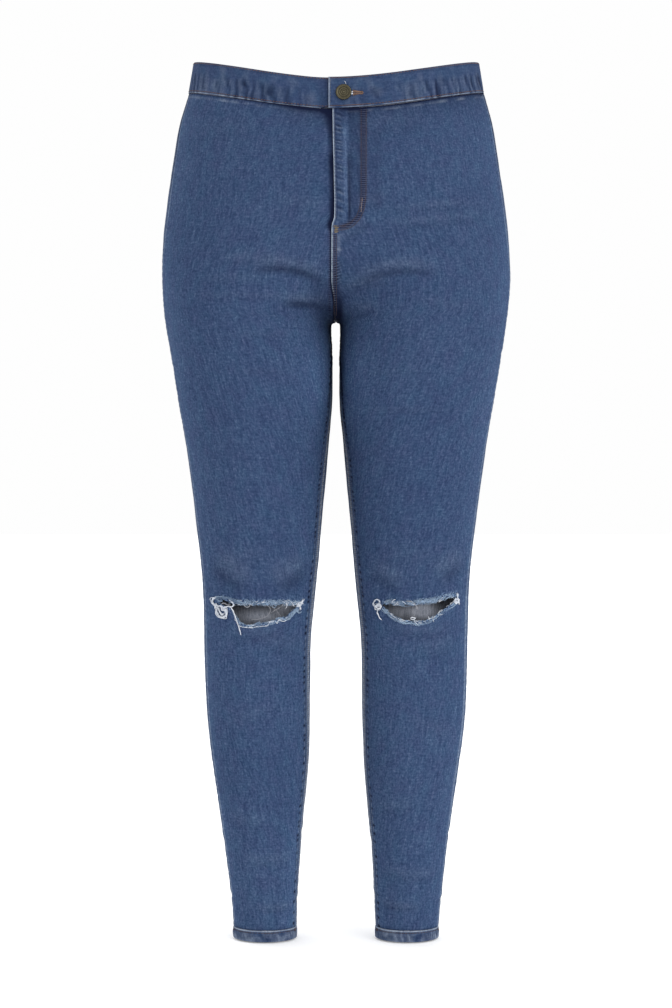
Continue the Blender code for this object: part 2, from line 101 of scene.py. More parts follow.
def smooth_column(z, name):
    """The table's column at heights z, on a cubic curve through its rows."""
    values = np.array([getattr(section, name) for section in reversed(SECTIONS)]) * MM
    slopes = np.gradient(values, Z_TABLE)
    i = np.clip(np.searchsorted(Z_TABLE, z) - 1, 0, len(Z_TABLE) - 2)
    span = Z_TABLE[i + 1] - Z_TABLE[i]
    t = np.clip((z - Z_TABLE[i]) / span, 0, 1)
    start = (1 + 2 * t) * (1 - t) ** 2 * values[i] + t * (1 - t) ** 2 * span * slopes[i]
    end = t * t * (3 - 2 * t) * values[i + 1] + t * t * (t - 1) * span * slopes[i + 1]
    return start + end


def smooth_step(low, high, value):
    t = np.clip((value - low) / (high - low), 0, 1)
    return t * t * (3 - 2 * t)


def between(start, risen, falls, end, value):
    """0 up to start, 1 from risen to falls, and 0 again past end."""
    return smooth_step(start, risen, value) * (1 - smooth_step(falls, end, value))


def bell(value, width):
    return np.exp(-((value / width) ** 2))


def at_index(index, values):
    """Values at indices that may lie between two of them."""
    return np.interp(index, np.arange(len(values)), values)


def walked_along(points):
    """How far along a line of points each one lies."""
    return np.concatenate([[0], np.cumsum(np.linalg.norm(np.diff(points, axis=0), axis=1))])


def crotch_ratio():
    width, gap = (smooth_column(-CROTCH, name) for name in ("width", "gap"))
    return float((width + gap) / (width - gap))


CROTCH_RATIO = crotch_ratio()
CROTCH_BLEND = (CROTCH_RATIO - 1) / math.log(2)
Lobe = namedtuple("Lobe", "x y half_width front back blend neck")


def lobe(z):
    """The wearer's left lobe at heights z: its centre, half axes, blend with the other lobe, and neck, the
    share of its depth at which it meets the other on the middle plane."""
    width, gap, middle = (smooth_column(z, name) for name in ("width", "gap", "middle"))
    above = z > -CROTCH
    rise = np.clip((z + CROTCH) / CROTCH_CURVE, 0, 1)
    neck = np.where(above, np.sqrt(1 - (1 - rise) ** 2), 0)
    joining = CROTCH_RATIO + (HIP_RATIO - CROTCH_RATIO) * smooth_step(0, LOBES_JOIN, z + CROTCH)
    ratio = np.where(above, joining, (width + gap) / (width - gap))
    half_width = width / (1 + ratio)
    blend_above = (np.hypot(neck, ratio) - 1) / math.log(2)
    blend_below = CROTCH_BLEND * np.exp(np.minimum(z + CROTCH, 0) / CROTCH_FADE)
    blend = np.where(above, blend_above, blend_below)
    front = middle - smooth_column(z, "front")
    back = smooth_column(z, "back") - middle
    return Lobe(ratio * half_width, middle, half_width, front, back, blend, neck)


def depth_in(x, y, at):
    """Under 0 inside the lobes and over 0 outside them."""
    reach = np.where(y < at.y, at.front, at.back)
    across = (y - at.y) / reach
    near = np.hypot((np.abs(x) - at.x) / at.half_width, across)
    far = np.hypot((np.abs(x) + at.x) / at.half_width, across)
    return near - 1 - at.blend * np.log1p(np.exp(-(far - near) / at.blend))


def outward(points):
    """The form's normals, from how fast depth_in grows along each axis."""
    step = 1e-5
    slopes = []
    for axis in range(3):
        move = np.zeros(3)
        move[axis] = step
        (x, y, z), (u, v, w) = (points + move).T, (points - move).T
        slopes.append(depth_in(x, y, lobe(z)) - depth_in(u, v, lobe(w)))
    normals = np.stack(slopes, axis=1)
    return normals / np.linalg.norm(normals, axis=1, keepdims=True)


def last_true(test, low, high):
    """The greatest values between low and high that pass a test, by halving."""
    for _ in range(30):
        middle = (low + high) / 2
        passed = test(middle)
        low, high = np.where(passed, middle, low), np.where(passed, high, middle)
    return low


def on_form(angle, z):
    """Points on the wearer's left half, at angles round the leg from straight ahead."""
    at = lobe(z)
    sine, cosine = np.sin(angle), np.cos(angle)
    reach = np.where(cosine > 0, at.front, at.back)
    own = 1 / np.hypot(sine / at.half_width, cosine / reach)
    to_middle_plane = at.x / np.maximum(-sine, 1e-9)

    def inside(radius):
        return depth_in(at.x + radius * sine, at.y - radius * cosine, at) < 0

    radius = last_true(inside, own * 0.5, np.minimum(own * (1 + 2 * at.blend), to_middle_plane))
    return np.stack([at.x + radius * sine, at.y - radius * cosine, z], axis=1)


def on_front(x, z):
    """Points on the front of the form."""
    at = lobe(z)
    y = last_true(lambda y: depth_in(x, y, at) > 0, at.y - at.front * 1.1, at.y)
    return np.stack([x, y, z], axis=1)


def swing(z):
    return smooth_step(SWING_STARTS, SWING_ENDS, -z)


def inner_angles(z):
    """The angles of the front panel's and the back panel's inner edges: the middle plane above the
    crotch, the inseam below it."""
    at = lobe(z)
    turn = INSEAM_TURN * smooth_step(0, INSEAM_TURNS_OVER, -z - CROTCH) + INSEAM_SWING * swing(z)
    above = z > -CROTCH
    front = np.where(above, -np.arctan2(at.x, at.front * at.neck), turn - math.pi / 2)
    back = np.where(above, math.pi + np.arctan2(at.x, at.back * at.neck), turn + 1.5 * math.pi)
    return front, back


def height(drop, front_share, back_share):
    """z of a row at drop below the top edge at the side."""
    dip = FRONT_DIP * np.sin(math.pi / 2 * front_share**FRONT_DIP_POWER) + BACK_DIP * back_share**2
    return -drop - dip * (1 - smooth_step(WAISTBAND_HEIGHT, DIP_ENDS, drop))


def ring(turn, drop):
    """Points on the wearer's left half: turn is 0 at the middle of the front (or the inseam's front
    edge), 1 at the outseam and 2 at the middle of the back (or the inseam's back edge)."""
    z = -drop
    for _ in range(3):
        front, back = inner_angles(z)
        seam = OUTSEAM - OUTSEAM_SWING * swing(z)
        angle = np.where(turn < 1, front + turn * (seam - front), seam + (turn - 1) * (back - seam))
        side = math.pi / 2
        front_share = np.clip((side - angle) / (side - front), 0, 1)
        back_share = np.clip((angle - side) / (back - side), 0, 1)
        z = height(drop, front_share, back_share)
    return on_form(angle, z)


# How much further the fly's edge goes, at heights, in millimetres: it bows to the wearer's left, and jogs
# back at the bartack.
SEAM_WANDERS = (
    (-322, -0.5), (-300, -1.2), (-250, -1.1), (-198, -0.9), (-194.5, -0.3), (-191, 1.0), (-188, 1.9),
    (-184, 2.2), (-170, 2.3), (-152, 1.9), (-130, 1.5), (-100, 0.6), (-77, 0.3), (-60, 0),
)


def front_seam_shift(points):
    """Moves the middle of the front to the wearer's right. The form is flat across there."""
    near = 1 - smooth_step(0, FRONT_SEAM_BLEND, np.abs(points[:, 0]))
    above = smooth_step(FRONT_SEAM_LOW, FRONT_SEAM_HIGH, points[:, 2] + CROTCH)
    heights, wanders = (np.array(column) * MM for column in zip(*SEAM_WANDERS))
    wander = np.interp(points[:, 2], heights, wanders)
    shift = np.where(points[:, 1] < 0, (FRONT_SEAM_X * above + wander) * near, 0)
    return points + shift[:, None] * np.array([1, 0, 0])


def placed(turn, drop):
    """Points of the form and its normals there. Turns from 0 to 2 are the wearer's left half, from 2 to
    4 the right half, and past either end they run on."""
    turn = np.where(turn > 3.5, turn - 4, turn)
    mirrored = (turn < 0) | (turn > 2)
    points = ring(np.where(turn < 0, -turn, np.where(turn > 2, 4 - turn, turn)), drop)
    return on_side(np.where(mirrored, -1, 1), points, outward(points))


def on_side(side, points, normals):
    """The points and normals where side is 1, and their mirror images where it is -1."""
    flip = np.ones(points.shape)
    flip[:, 0] = side
    return points * flip, normals * flip


def x_to_turn(x, drop):
    """The turn at which the front is x to the wearer's left of the middle."""
    turns = np.linspace(0, 0.8, 81)
    found = ring(turns, np.full(81, drop))[:, 0]
    return float(np.interp(x, found, turns))


# ---- creases and other relief

# Main creases, in millimetres: the middle of each, its length, how far it rises along its length, and the
# width and depth of its trough. bow bends it, ends up. Along the sides, x is y.
Crease = namedtuple("Crease", "x z length rise width depth bow")
CREASE_ROWS = {
    "front": (
        # towards the crotch, under the fly
        (-50, -245, 74, -10, 4.5, 1.9, -5), (-26, -281, 58, -4, 4.0, 2.2, -3),
        (66, -247, 78, 8, 4.5, 1.5, -5), (-92, -237, 60, 0, 4.0, 0.6, 0), (34, -262, 44, 9, 4.0, 0.9, -3),
        (24, -289, 40, 3, 4.0, 1.0, -2),
        # across the hips and the tops of the thighs
        (112, -194, 104, 14, 3.5, 0.6, 2), (96, -180, 84, 10, 3.0, 0.45, 2), (128, -176, 70, 6, 3.0, 0.35, 0),
        (-108, -258, 70, 0, 3.0, 0.4, 0), (-96, -276, 120, -2, 2.5, 0.45, 0),
        (-82, -318, 66, 2, 2.8, 0.35, 0), (60, -358, 60, 0, 2.2, 0.35, 0), (-84, -358, 52, 0, 2.2, 0.35, 0),
        (70, -400, 108, 0, 2.2, 0.4, 0), (120, -286, 60, -5, 3.5, 0.35, 0),
        # beside the fly
        (24, -205, 34, 24, 4.0, 1.0, 0), (38, -176, 44, 14, 4.0, 0.5, 2), (-40, -178, 50, -6, 4.5, 0.45, 0),
        (-30, -84, 56, -8, 6.0, 0.6, -2), (62, -92, 70, 10, 6.0, 0.5, -2), (-120, -96, 60, 2, 6.0, 0.35, 0),
        # round the knees
        (-122, -584, 44, -30, 8.0, 1.3, 0), (-46, -586, 40, 26, 8.0, 1.3, 0),
        (52, -588, 36, -20, 7.0, 1.1, 0), (132, -576, 36, 24, 7.0, 1.2, 0), (-88, -650, 60, 3, 5.0, 0.8, 3),
        (92, -648, 62, -2, 5.0, 0.8, 3), (-60, -664, 50, -6, 6.0, 0.6, 2), (112, -668, 44, 8, 6.0, 0.6, 2),
        (-100, -566, 46, 4, 6.0, 0.4, -3), (84, -566, 54, -3, 6.0, 0.4, -3),
        # down the shins
        (-92, -742, 50, 12, 5.0, 0.4, 0), (104, -756, 44, -14, 5.0, 0.4, 0), (66, -846, 44, 5, 4.5, 0.5, 2),
        (-102, -862, 40, -6, 4.5, 0.5, 2), (-76, -905, 50, 3, 4.0, 0.7, 2), (84, -922, 54, -2, 4.0, 0.7, 2),
        (-66, -957, 44, 2, 2.6, 0.9, 1), (68, -955, 46, -3, 2.6, 1.1, 1),
    ),
    "back": (
        # under the seat and across it
        (-62, -300, 96, 7, 5.0, 2.2, 6), (60, -306, 90, -6, 5.0, 2.0, 6), (-84, -328, 70, 10, 4.5, 1.2, 4),
        (90, -332, 74, -8, 4.5, 1.3, 4), (-34, -262, 50, 14, 4.5, 1.2, 3), (32, -256, 46, -14, 4.5, 1.2, 3),
        (-70, -120, 80, 6, 7.0, 0.7, -3), (76, -108, 74, -5, 7.0, 0.7, -3), (-20, -76, 44, 6, 6.0, 0.5, -2),
        (34, -168, 60, 8, 6.0, 0.4, -2), (-110, -364, 60, 4, 3.5, 0.5, 0), (70, -392, 76, 2, 3.0, 0.4, 0),
        # behind the knees
        (-88, -596, 88, 6, 4.5, 2.0, -4), (84, -602, 84, -4, 4.5, 2.1, -4), (-80, -622, 78, -8, 4.5, 2.3, 3),
        (92, -626, 80, 7, 4.5, 2.1, 3), (-100, -644, 62, 9, 4.5, 1.5, 2), (74, -650, 60, -8, 4.5, 1.5, 2),
        (-72, -572, 58, -9, 5.0, 1.1, -3), (104, -570, 54, 10, 5.0, 1.1, -3),
        (-96, -676, 48, -6, 5.0, 0.8, 2), (88, -680, 46, 5, 5.0, 0.8, 2),
        # down the calves
        (-78, -838, 50, 7, 5.0, 0.7, 2), (84, -852, 46, -6, 5.0, 0.7, 2), (-84, -893, 54, -4, 4.0, 1.0, 2),
        (76, -902, 50, 5, 4.0, 1.0, 2), (-76, -932, 48, 3, 3.6, 1.0, 1), (82, -940, 50, -4, 3.6, 1.0, 1),
        (-80, -959, 44, -2, 2.6, 0.8, 1), (80, -962, 44, 2, 2.6, 0.7, 1),
    ),
    "left": (
        (36, -262, 70, -6, 6.0, 0.6, 2), (-10, -330, 60, 5, 4.0, 0.4, 0), (30, -604, 50, -10, 5.0, 1.2, 2),
        (34, -634, 44, 8, 5.0, 1.2, 2), (14, -872, 44, 4, 4.5, 0.7, 1), (10, -948, 40, 3, 3.2, 0.8, 1),
        (20, -124, 60, 4, 7.0, 0.4, 0),
    ),
    "right": (
        (34, -272, 66, 5, 6.0, 0.6, 2), (-6, -346, 56, -5, 4.0, 0.4, 0), (30, -612, 52, 9, 5.0, 1.2, 2),
        (32, -640, 42, -8, 5.0, 1.1, 2), (12, -884, 42, -5, 4.5, 0.7, 1), (12, -944, 42, -3, 3.2, 0.8, 1),
        (24, -138, 64, -5, 7.0, 0.4, 0),
    ),
}
CREASES = {facing: [Crease(*row) for row in rows] for facing, rows in CREASE_ROWS.items()}
CREASE_LIFT, CREASE_WEAR, CREASE_SHADE = 0.80, 0.15, 0.36
FACINGS = {"front": (0, -1), "back": (0, 1), "left": (1, 0), "right": (-1, 0)}


def crease_field(points, normals):
    """Lift, wear and shade from the creases: a soft trough with a lower ridge over it, worn pale."""
    field = np.zeros((3, len(points)))
    for facing, creases in CREASES.items():
        facing_share = smooth_step(0.25, 0.75, normals[:, :2] @ np.array(FACINGS[facing]))
        level = points[:, 0] if facing in ("front", "back") else points[:, 1]
        for crease in creases:
            slope = math.atan2(crease.rise, crease.length)
            right, up = level / MM - crease.x, points[:, 2] / MM - crease.z
            along = (right * math.cos(slope) + up * math.sin(slope)) / (crease.length / 2)
            across = -right * math.sin(slope) + up * math.cos(slope) - crease.bow * along**2
            ends = np.exp(-(along**4)) * facing_share
            trough = bell(across, crease.width)
            ridge = bell(across - 1.9 * crease.width, 1.3 * crease.width)
            field[0] += CREASE_LIFT * crease.depth * MM * ends * (0.55 * ridge - trough)
            field[1] += CREASE_WEAR * min(crease.depth, 1.3) * ends * ridge
            field[2] += CREASE_SHADE * crease.depth**1.5 * ends * trough
    return field


def waves(seed, count, shortest, longest):
    """Seeded directions, wave numbers and phases for ripple."""
    rng = np.random.default_rng(seed)
    directions = rng.normal(size=(count, 3)) * np.array([1.0, 1.0, 0.8])
    directions /= np.linalg.norm(directions, axis=1, keepdims=True)
    lengths = np.exp(rng.uniform(math.log(shortest), math.log(longest), count))
    phases = rng.uniform(0, 2 * math.pi, count)
    return directions * (2 * math.pi / lengths)[:, None], phases, lengths / longest


SOFT_WAVES = waves(3, 26, 0.030, 0.140)
FINE_WAVES = waves(5, 30, 0.009, 0.028)


def ripple(points, spectrum):
    """A smooth uneven field of about -1 to 1."""
    numbers, phases, heights = spectrum
    total = np.sin(points @ numbers.T + phases) @ heights
    return total / math.sqrt(2 * np.sum(heights**2)) * 1.2


# ---- puckers along the seams

Pucker = namedtuple("Pucker", "at size")


def puckers(seed, start, end, spacing, low_spacing=None):
    """Where a seam's cloth is gathered by its stitches, and how much. Down the legs they are low_spacing
    apart."""
    rng = np.random.default_rng(seed)
    fine = np.linspace(start, end, 2001)
    apart = spacing + ((low_spacing or spacing) - spacing) * smooth_step(0.50, 0.74, fine)
    counts = np.cumsum((fine[1] - fine[0]) / apart)
    steps = np.cumsum(rng.uniform(0.60, 1.45, int(counts[-1] * 1.2)))
    at = np.interp(steps[steps < counts[-1]], counts, fine)
    return Pucker(at, rng.uniform(0.3, 1.0, len(at)))


def pucker_wave(gathered, along, width=None):
    """1 in the trough of each pucker and 0 between them, times its size. Without a width they touch."""
    phase = np.interp(along, gathered.at, np.arange(len(gathered.at)))
    size = np.interp(along, gathered.at, gathered.size)
    if width is None:
        return size * (0.5 + 0.5 * np.cos(2 * math.pi * phase)) ** 1.5
    return size * bell(along - gathered.at[np.rint(phase).astype(int)], width)


# A seam's allowance makes a band beside it, worn pale along a line at line, as wide as band. The cloth is
# gathered about ticks_at, over ticks_wide.
Seam = namedtuple("Seam", "groove crest line band ticks_at ticks_wide depth worn shade slant")
OUTSEAM_FRONT = Seam(0.0009, 0.0005, 0.0028, 0.0018, 0.0100, 0.0050, 0.0004, 1.05, 0.60, 0.25)
OUTSEAM_BACK = Seam(0.0009, 0.0004, 0.0060, 0.0050, 0.0100, 0.0060, 0.0004, 0.45, 0.40, -0.25)
INSEAM_FRONT = Seam(0.0008, 0.0003, 0.0018, 0.0009, 0.0034, 0.0024, 0.0006, 1.00, 2.30, 0.20)
INSEAM_BACK = Seam(0.0008, 0.0005, 0.0090, 0.0046, 0.0140, 0.0060, 0.0004, 2.30, 0.25, -0.20)
RISE_FRONT = Seam(0.0004, 0.0005, 0.0004, 0.0008, 0.0060, 0.0030, 0.0003, 5.60, 0.30, 0.90)
RISE_FRONT_UNDER = Seam(0.0010, 0.0000, 0.0020, 0.0010, 0.0060, 0.0030, 0.0002, 0.00, 0.30, -0.50)
RISE_BACK = Seam(0.0008, 0.0006, 0.0040, 0.0050, 0.0120, 0.0050, 0.0005, 0.45, 0.70, 0.50)


def seam_field(distance, along, gathered, seam):
    """Lift, wear and shade beside a seam: its groove, its band and its puckers."""
    wave = pucker_wave(gathered, along - seam.slant * distance, 0.0017)
    band = bell(distance - seam.line, 1.4 * seam.band)
    ticks = bell(distance - seam.ticks_at, seam.ticks_wide)
    lift = seam.crest * band - seam.groove * bell(distance, 0.0009) - seam.depth * wave * (ticks + 0.3 * band)
    wear = seam.worn * bell(distance - seam.line, seam.band) * (1 - 0.5 * wave)
    return np.array([lift, wear, seam.shade * wave * ticks + 0.8 * bell(distance, 0.0013)])


# ---- rips over the knees

# Distance from the middle and z of each rip's two lips, in millimetres, from its inner corner outwards. The
# wearer's left knee is 1 and the right one -1.
UPPER_LIPS = {
    1: ((51, -613), (60, -611.5), (70, -612), (89, -612), (95, -611), (105, -610), (112, -607.5), (120, -605),
        (127, -603.5), (134, -603)),
    -1: ((38, -611), (44, -611.5), (56, -611.5), (70, -612), (85, -611.5), (98, -611.5), (115, -611),
         (120, -608.5), (126, -607.5), (130, -609)),
}
LOWER_LIPS = {
    1: ((51, -613), (54, -616), (58, -619.5), (63, -624.5), (68, -627), (75, -629), (82, -629.5), (90, -630),
        (100, -629), (106, -627), (112, -623), (117, -618.5), (122, -615.5), (127, -612.5), (131, -609),
        (134, -603)),
    -1: ((38, -611), (45, -616), (50, -620.5), (55, -625.5), (60, -627), (67, -629), (74, -631), (83, -632.5),
         (93, -635), (100, -635), (105, -633), (109, -629), (112, -623), (115, -617), (118, -614.5),
         (126, -613), (130, -609)),
}
SLIT = 0.612  # the drop of the thread line along which the knees have torn
SLIT_HALF = 0.0004


def lip(side, x, lips):
    corners = np.array(lips[side]) * MM
    return np.interp(x, corners[:, 0], corners[:, 1])


def slit_span(side):
    corners = np.array(UPPER_LIPS[side]) * MM
    return corners[0, 0], corners[-1, 0]


def opened(side, x, drop):
    """Where rows of a knee's cloth have moved to, how near they are to the rip's lips, and how far each
    lip turns out. x is measured to the outside of the leg, along the slit's own line."""
    start, end = slit_span(side)
    inside = between(start - 0.002, start + 0.003, end - 0.003, end + 0.002, x)
    upper, lower = lip(side, x, UPPER_LIPS), lip(side, x, LOWER_LIPS)
    past_ends = np.maximum(np.maximum(start - x, x - end), 0)
    raised = (upper + SLIT) * np.exp(-past_ends / 0.012)
    above = drop < SLIT
    off = np.abs(drop - SLIT) - SLIT_HALF
    rng = np.random.default_rng(11 + side)
    teeth = np.interp(x, np.linspace(0, 0.2, 260), rng.normal(0, 0.0009, 260)) * inside
    gape = np.where(above, 0, (upper - lower) * inside * np.exp(-off / 0.032))
    moved = drop - raised * bell(off, 0.050) + gape + teeth * np.exp(-off / 0.0020)
    near = between(start - 0.006, start + 0.001, end - 0.001, end + 0.006, x) * bell(off, 0.0046)
    curl = inside * np.where(above, 0.0007, 0.0016) * np.exp(-off / 0.0050) * (0.6 + 500 * np.abs(teeth))
    return moved, near, curl


# ---- cloth shells

CLOTH = 0.0011  # thickness as seen, a little under that of the solids
HALF_LAP = (DENIM + SEAM_GAP) / 2  # how far the fly's edges stand out and in
Panel = namedtuple("Panel", "name side back shares arcs drops inner_x")
PANEL_TOP, PANEL_END = WAISTBAND_HEIGHT + SEAM_GAP, LENGTH - HEM_HEIGHT - SEAM_GAP


def panel_turn(side, back, share, drop, width):
    """The turn at each share of a panel's width. The right front runs on under the left as far as the
    fly is open."""
    gap = SEWN_GAP / 2 / width
    turn = gap + share * (1 - 2 * gap)
    if back:
        return 1 + turn
    if side < 0:
        lap_end = -x_to_turn(FLY_LAP - FRONT_SEAM_X, LAP_DROP)
        level = 0.10
        lapped = np.where(share < level, lap_end + share / level * (level - lap_end), share)
        laps = 1 - smooth_step(UNDERLAP_ENDS - 0.006, UNDERLAP_ENDS + 0.006, drop)
        return turn + (lapped - turn) * laps
    return turn


def make_panel(name, side, back):
    """A panel's arc lengths from its low-turn edge, on an even table of shares and drops."""
    shares, drops = np.linspace(0, 1, 49), np.linspace(PANEL_TOP, PANEL_END, 193)
    share, drop = (axis.ravel() for axis in np.meshgrid(shares, drops))
    points, _ = placed(share + back, drop)
    grid = points.reshape(len(drops), len(shares), 3)
    steps = np.linalg.norm(np.diff(grid, axis=1), axis=2)
    arcs = np.concatenate([np.zeros((len(drops), 1)), np.cumsum(steps, axis=1)], axis=1)
    slit_row = int(np.argmin(np.abs(drops - SLIT)))
    return Panel(name, side, back, shares, arcs, drops, grid[slit_row, :, 0])


def arc_at(panel, share, drop):
    """The arc length from the panel's low-turn edge, and the panel's width, at shares and drops."""
    i = np.clip(share, 0, 1) * (len(panel.shares) - 1)
    j = np.clip((drop - panel.drops[0]) / (panel.drops[-1] - panel.drops[0]), 0, 1) * (len(panel.drops) - 1)
    i0 = np.minimum(i.astype(int), len(panel.shares) - 2)
    j0 = np.minimum(j.astype(int), len(panel.drops) - 2)
    u, v = i - i0, j - j0
    low, high = (panel.arcs[row, i0] * (1 - u) + panel.arcs[row, i0 + 1] * u for row in (j0, j0 + 1))
    return low * (1 - v) + high * v, panel.arcs[j0, -1] * (1 - v) + panel.arcs[j0 + 1, -1] * v


def fly_share(points, drop):
    """1 where the fly laps and 0 away from it."""
    across = 1 - smooth_step(FLY_LIFT_STARTS, FLY_LIFT_ENDS, np.abs(points[:, 0]))
    down = 1 - smooth_step(FLY_LENGTH, FLY_LENGTH + FLY_FADE, drop)
    return np.where(points[:, 1] < 0, across * down, 0)


SEAM_PUCKERS = {
    (side, seam): puckers(21 + 7 * index + side, 0.02, 1.0, *spacing)
    for side in (-1, 1)
    for index, (seam, spacing) in enumerate(
        (("out", (0.0066, 0.012)), ("in", (0.0055, 0.0085)), ("rise", (0.0074,)), ("seat", (0.0060,)))
    )
}


FLY_RIDGE = 0.0123  # from the fly's edge to where its facing ends


def past_fly(drop):
    """0 where the fly laps and 1 below its end."""
    return smooth_step(FLY_LENGTH - 0.004, FLY_LENGTH + 0.010, drop)


def on_leg(drop):
    """0 above the crotch and 1 below it."""
    return smooth_step(CROTCH - 0.004, CROTCH + 0.004, drop)


def fly_field(distance, drop):
    """Lift, wear and shade on the left front's lap: a folded edge over its facing, as far as the two rows
    of stitches that turn to its end."""
    along = drop - 0.45 * distance
    gathered, beside = (pucker_wave(SEAM_PUCKERS[1, "rise"], s, 0.0016) for s in (along, along + 0.0026))
    ticks = bell(distance - 0.0062, 0.0036)
    folded = 1 - smooth_step(0.0125, 0.0175, distance)
    ridge = bell(distance - FLY_RIDGE, 0.0018) * between(0.050, 0.075, 0.150, 0.200, drop)
    edge = 1 - smooth_step(0, 0.0012, distance)
    lift = 0.0008 * folded + 0.0004 * ridge - 0.0005 * edge - 0.0007 * gathered * ticks
    wear = 4.6 * bell(distance - 0.0002, 0.0008) + 0.02 * folded + 0.15 * ridge
    wear += 0.95 * ticks * (gathered - 0.20)
    line = bell(distance - 0.0164, 0.0014) * between(0.086, 0.130, 0.186, 0.200, drop)
    wedge = between(0.0150, 0.0175, 0.0270, 0.0330, distance)
    beyond = bell(distance - 0.0440, 0.0070) * between(0.060, 0.072, 0.170, 0.186, drop)
    # painted shadow under the waistband, fading out towards the fly's edge
    top = np.exp(-(drop - PANEL_TOP) / 0.014) * smooth_step(0, 0.011, distance)
    shade = 1.25 * ticks * beside + 0.75 * bell(distance - 0.0029, 0.0009)
    shade += 1.5 * line + 0.42 * wedge + 0.26 * beyond + 0.85 * top
    return np.array([lift, wear, shade]) * (1 - past_fly(drop))


def rise_field(x, z):
    """Wear and shade beside the front rise under the fly: a pale strip and spot, slanting gathers, then
    shadow towards the crotch. Millimetres."""
    strip = bell(x - 3.5, 1.6) * between(-231, -226, -209, -205, z)
    spot = bell(x - 3.5, 3.2) * bell(z + 222, 1.5)
    rucked = bell(x - 2.2, 3.4) * between(-262, -252, -238, -230, z)
    slanting = 0.5 + 0.5 * np.sin(2 * math.pi * (z - 0.35 * x) / 3.1)
    low = bell(x - 1.5, 4.6) * (1 - smooth_step(-286, -240, z))
    hollow = bell(x + 16, 13) * between(-312, -300, -275, -238, z)
    wear = 0.55 * strip + 0.9 * spot + 0.55 * rucked * (1 - slanting)
    return np.array([wear, 1.1 * rucked * slanting + 1.25 * low + 0.45 * hollow])


# How far the shadow beside the fly reaches, and how deep it is, at drops.
FLY_SHADOW_DROPS = (0.035, 0.052, 0.060, 0.075, 0.100, 0.112, 0.125, 0.150, 0.170, 0.190)
FLY_SHADOW_REACH = (0.0100, 0.0085, 0.0050, 0.0030, 0.0024, 0.0036, 0.0040, 0.0028, 0.0030, 0.0034)
FLY_SHADOW_DEPTH = (1.60, 1.55, 1.45, 1.40, 1.15, 1.70, 1.90, 1.65, 1.85, 2.10)


def fly_shadow(x, drop):
    reach = np.interp(drop, FLY_SHADOW_DROPS, FLY_SHADOW_REACH)
    near = (1 - smooth_step(0.194, 0.206, drop)) * bell(np.maximum(-x - 0.0020, 0), reach)
    return near * np.interp(drop, FLY_SHADOW_DROPS, FLY_SHADOW_DEPTH)


def seams_field(panel, drop, inner, outer):
    """Lift, wear and shade beside a panel's outseam, inseam and rise."""
    leg = on_leg(drop)
    if panel.back:
        outseam, inseam, rise, gathers, rise_share = OUTSEAM_BACK, INSEAM_BACK, RISE_BACK, "seat", 1 - leg
    else:
        rise = RISE_FRONT if panel.side > 0 else RISE_FRONT_UNDER
        outseam, inseam, gathers, rise_share = OUTSEAM_FRONT, INSEAM_FRONT, "rise", (1 - leg) * past_fly(drop)
    side = panel.side
    field = seam_field(outer, drop, SEAM_PUCKERS[side, "out"], outseam)
    if side > 0:
        calf = between(0.56, 0.62, 0.80, 0.90, drop)
        field[1] *= 1 - 0.2 * calf
        if not panel.back:
            field[1] += 0.60 * calf * bell(outer - 0.0056, 0.0016)
    field += leg * seam_field(inner, drop, SEAM_PUCKERS[side, "in"], inseam)
    return field + rise_share * seam_field(inner, drop, SEAM_PUCKERS[side, gathers], rise)


def waist_field(panel, drop, inner, points):
    """Lift, wear and shade under the waistband, where the cloth is drawn in along the seam and the band's
    shadow is painted on, deepest and widest near the fly.
    """
    under = drop - PANEL_TOP
    near_fly = 0 if panel.back else bell(points[:, 0] + 0.030, 0.036)
    shade = (1.5 + 0.9 * near_fly) * np.exp(-under / (0.0013 + 0.0050 * near_fly))
    if panel.name == "front_left":
        shade *= 1 - 0.8 * bell(inner - 0.001, 0.008)
    streak = bell(under - 0.0042, 0.0013) * (1 - near_fly) * (0.5 + 0.7 * ripple(points, FINE_WAVES))
    return np.array([-0.0007 * np.exp(-under / 0.0025), 0.8 * streak.clip(0), shade])


def panel_field(panel, share, drop, points, normals):
    """Lift, wear and shade all over a panel, from its place on the form."""
    arc, width = arc_at(panel, share, drop)
    inner, outer = (width - arc, arc) if panel.back else (arc, width - arc)
    field = crease_field(points, normals)
    field[0] += 0.00045 * ripple(points, SOFT_WAVES) + 0.00010 * ripple(points, FINE_WAVES)
    field += seams_field(panel, drop, inner, outer) + waist_field(panel, drop, inner, points)
    over_hem = PANEL_END - drop
    field[0] -= 0.0003 * np.exp(-over_hem / 0.0015)
    # painted shade just above the hem
    field[2] += 0.85 * np.exp(-over_hem / 0.0016)
    if panel.back:
        # the strip that wraps round to the front lies in deep shade between the thighs
        thigh = between(0.28, 0.31, 0.33, 0.46, drop) * on_leg(drop)
        field[2] += 1.3 * thigh * (1 - smooth_step(0.010, 0.040, inner))
        # painted shade on the strip behind the outseam over the hips, which turns away
        field[2] += 0.8 * (1 - smooth_step(0.06, 0.20, drop)) * (1 - smooth_step(0.010, 0.040, outer))
    else:
        field[1:] += rise_field((points[:, 0] + FRONT_SEAM_X) / MM, points[:, 2] / MM)
    if panel.name == "front_left":
        field += fly_field(inner, drop)
    if panel.name == "front_right":
        beside = fly_shadow(points[:, 0], drop)
        field[1] *= 1 - 0.4 * beside
        field[2] += beside + 1.7 * bell(inner - 0.0003, 0.0010) * past_fly(drop) * (1 - on_leg(drop))
    # painted shade in the fork of the legs, darkest along the gap's edges
    fork = bell(drop - CROTCH - 0.002, 0.017) * np.exp(-inner / 0.012)
    fork_edge = between(CROTCH - 0.002, CROTCH + 0.006, 0.312, 0.350, drop) * np.exp(-inner / 0.0022)
    field[2] += 0.80 * fork + 1.4 * fork_edge
    return field


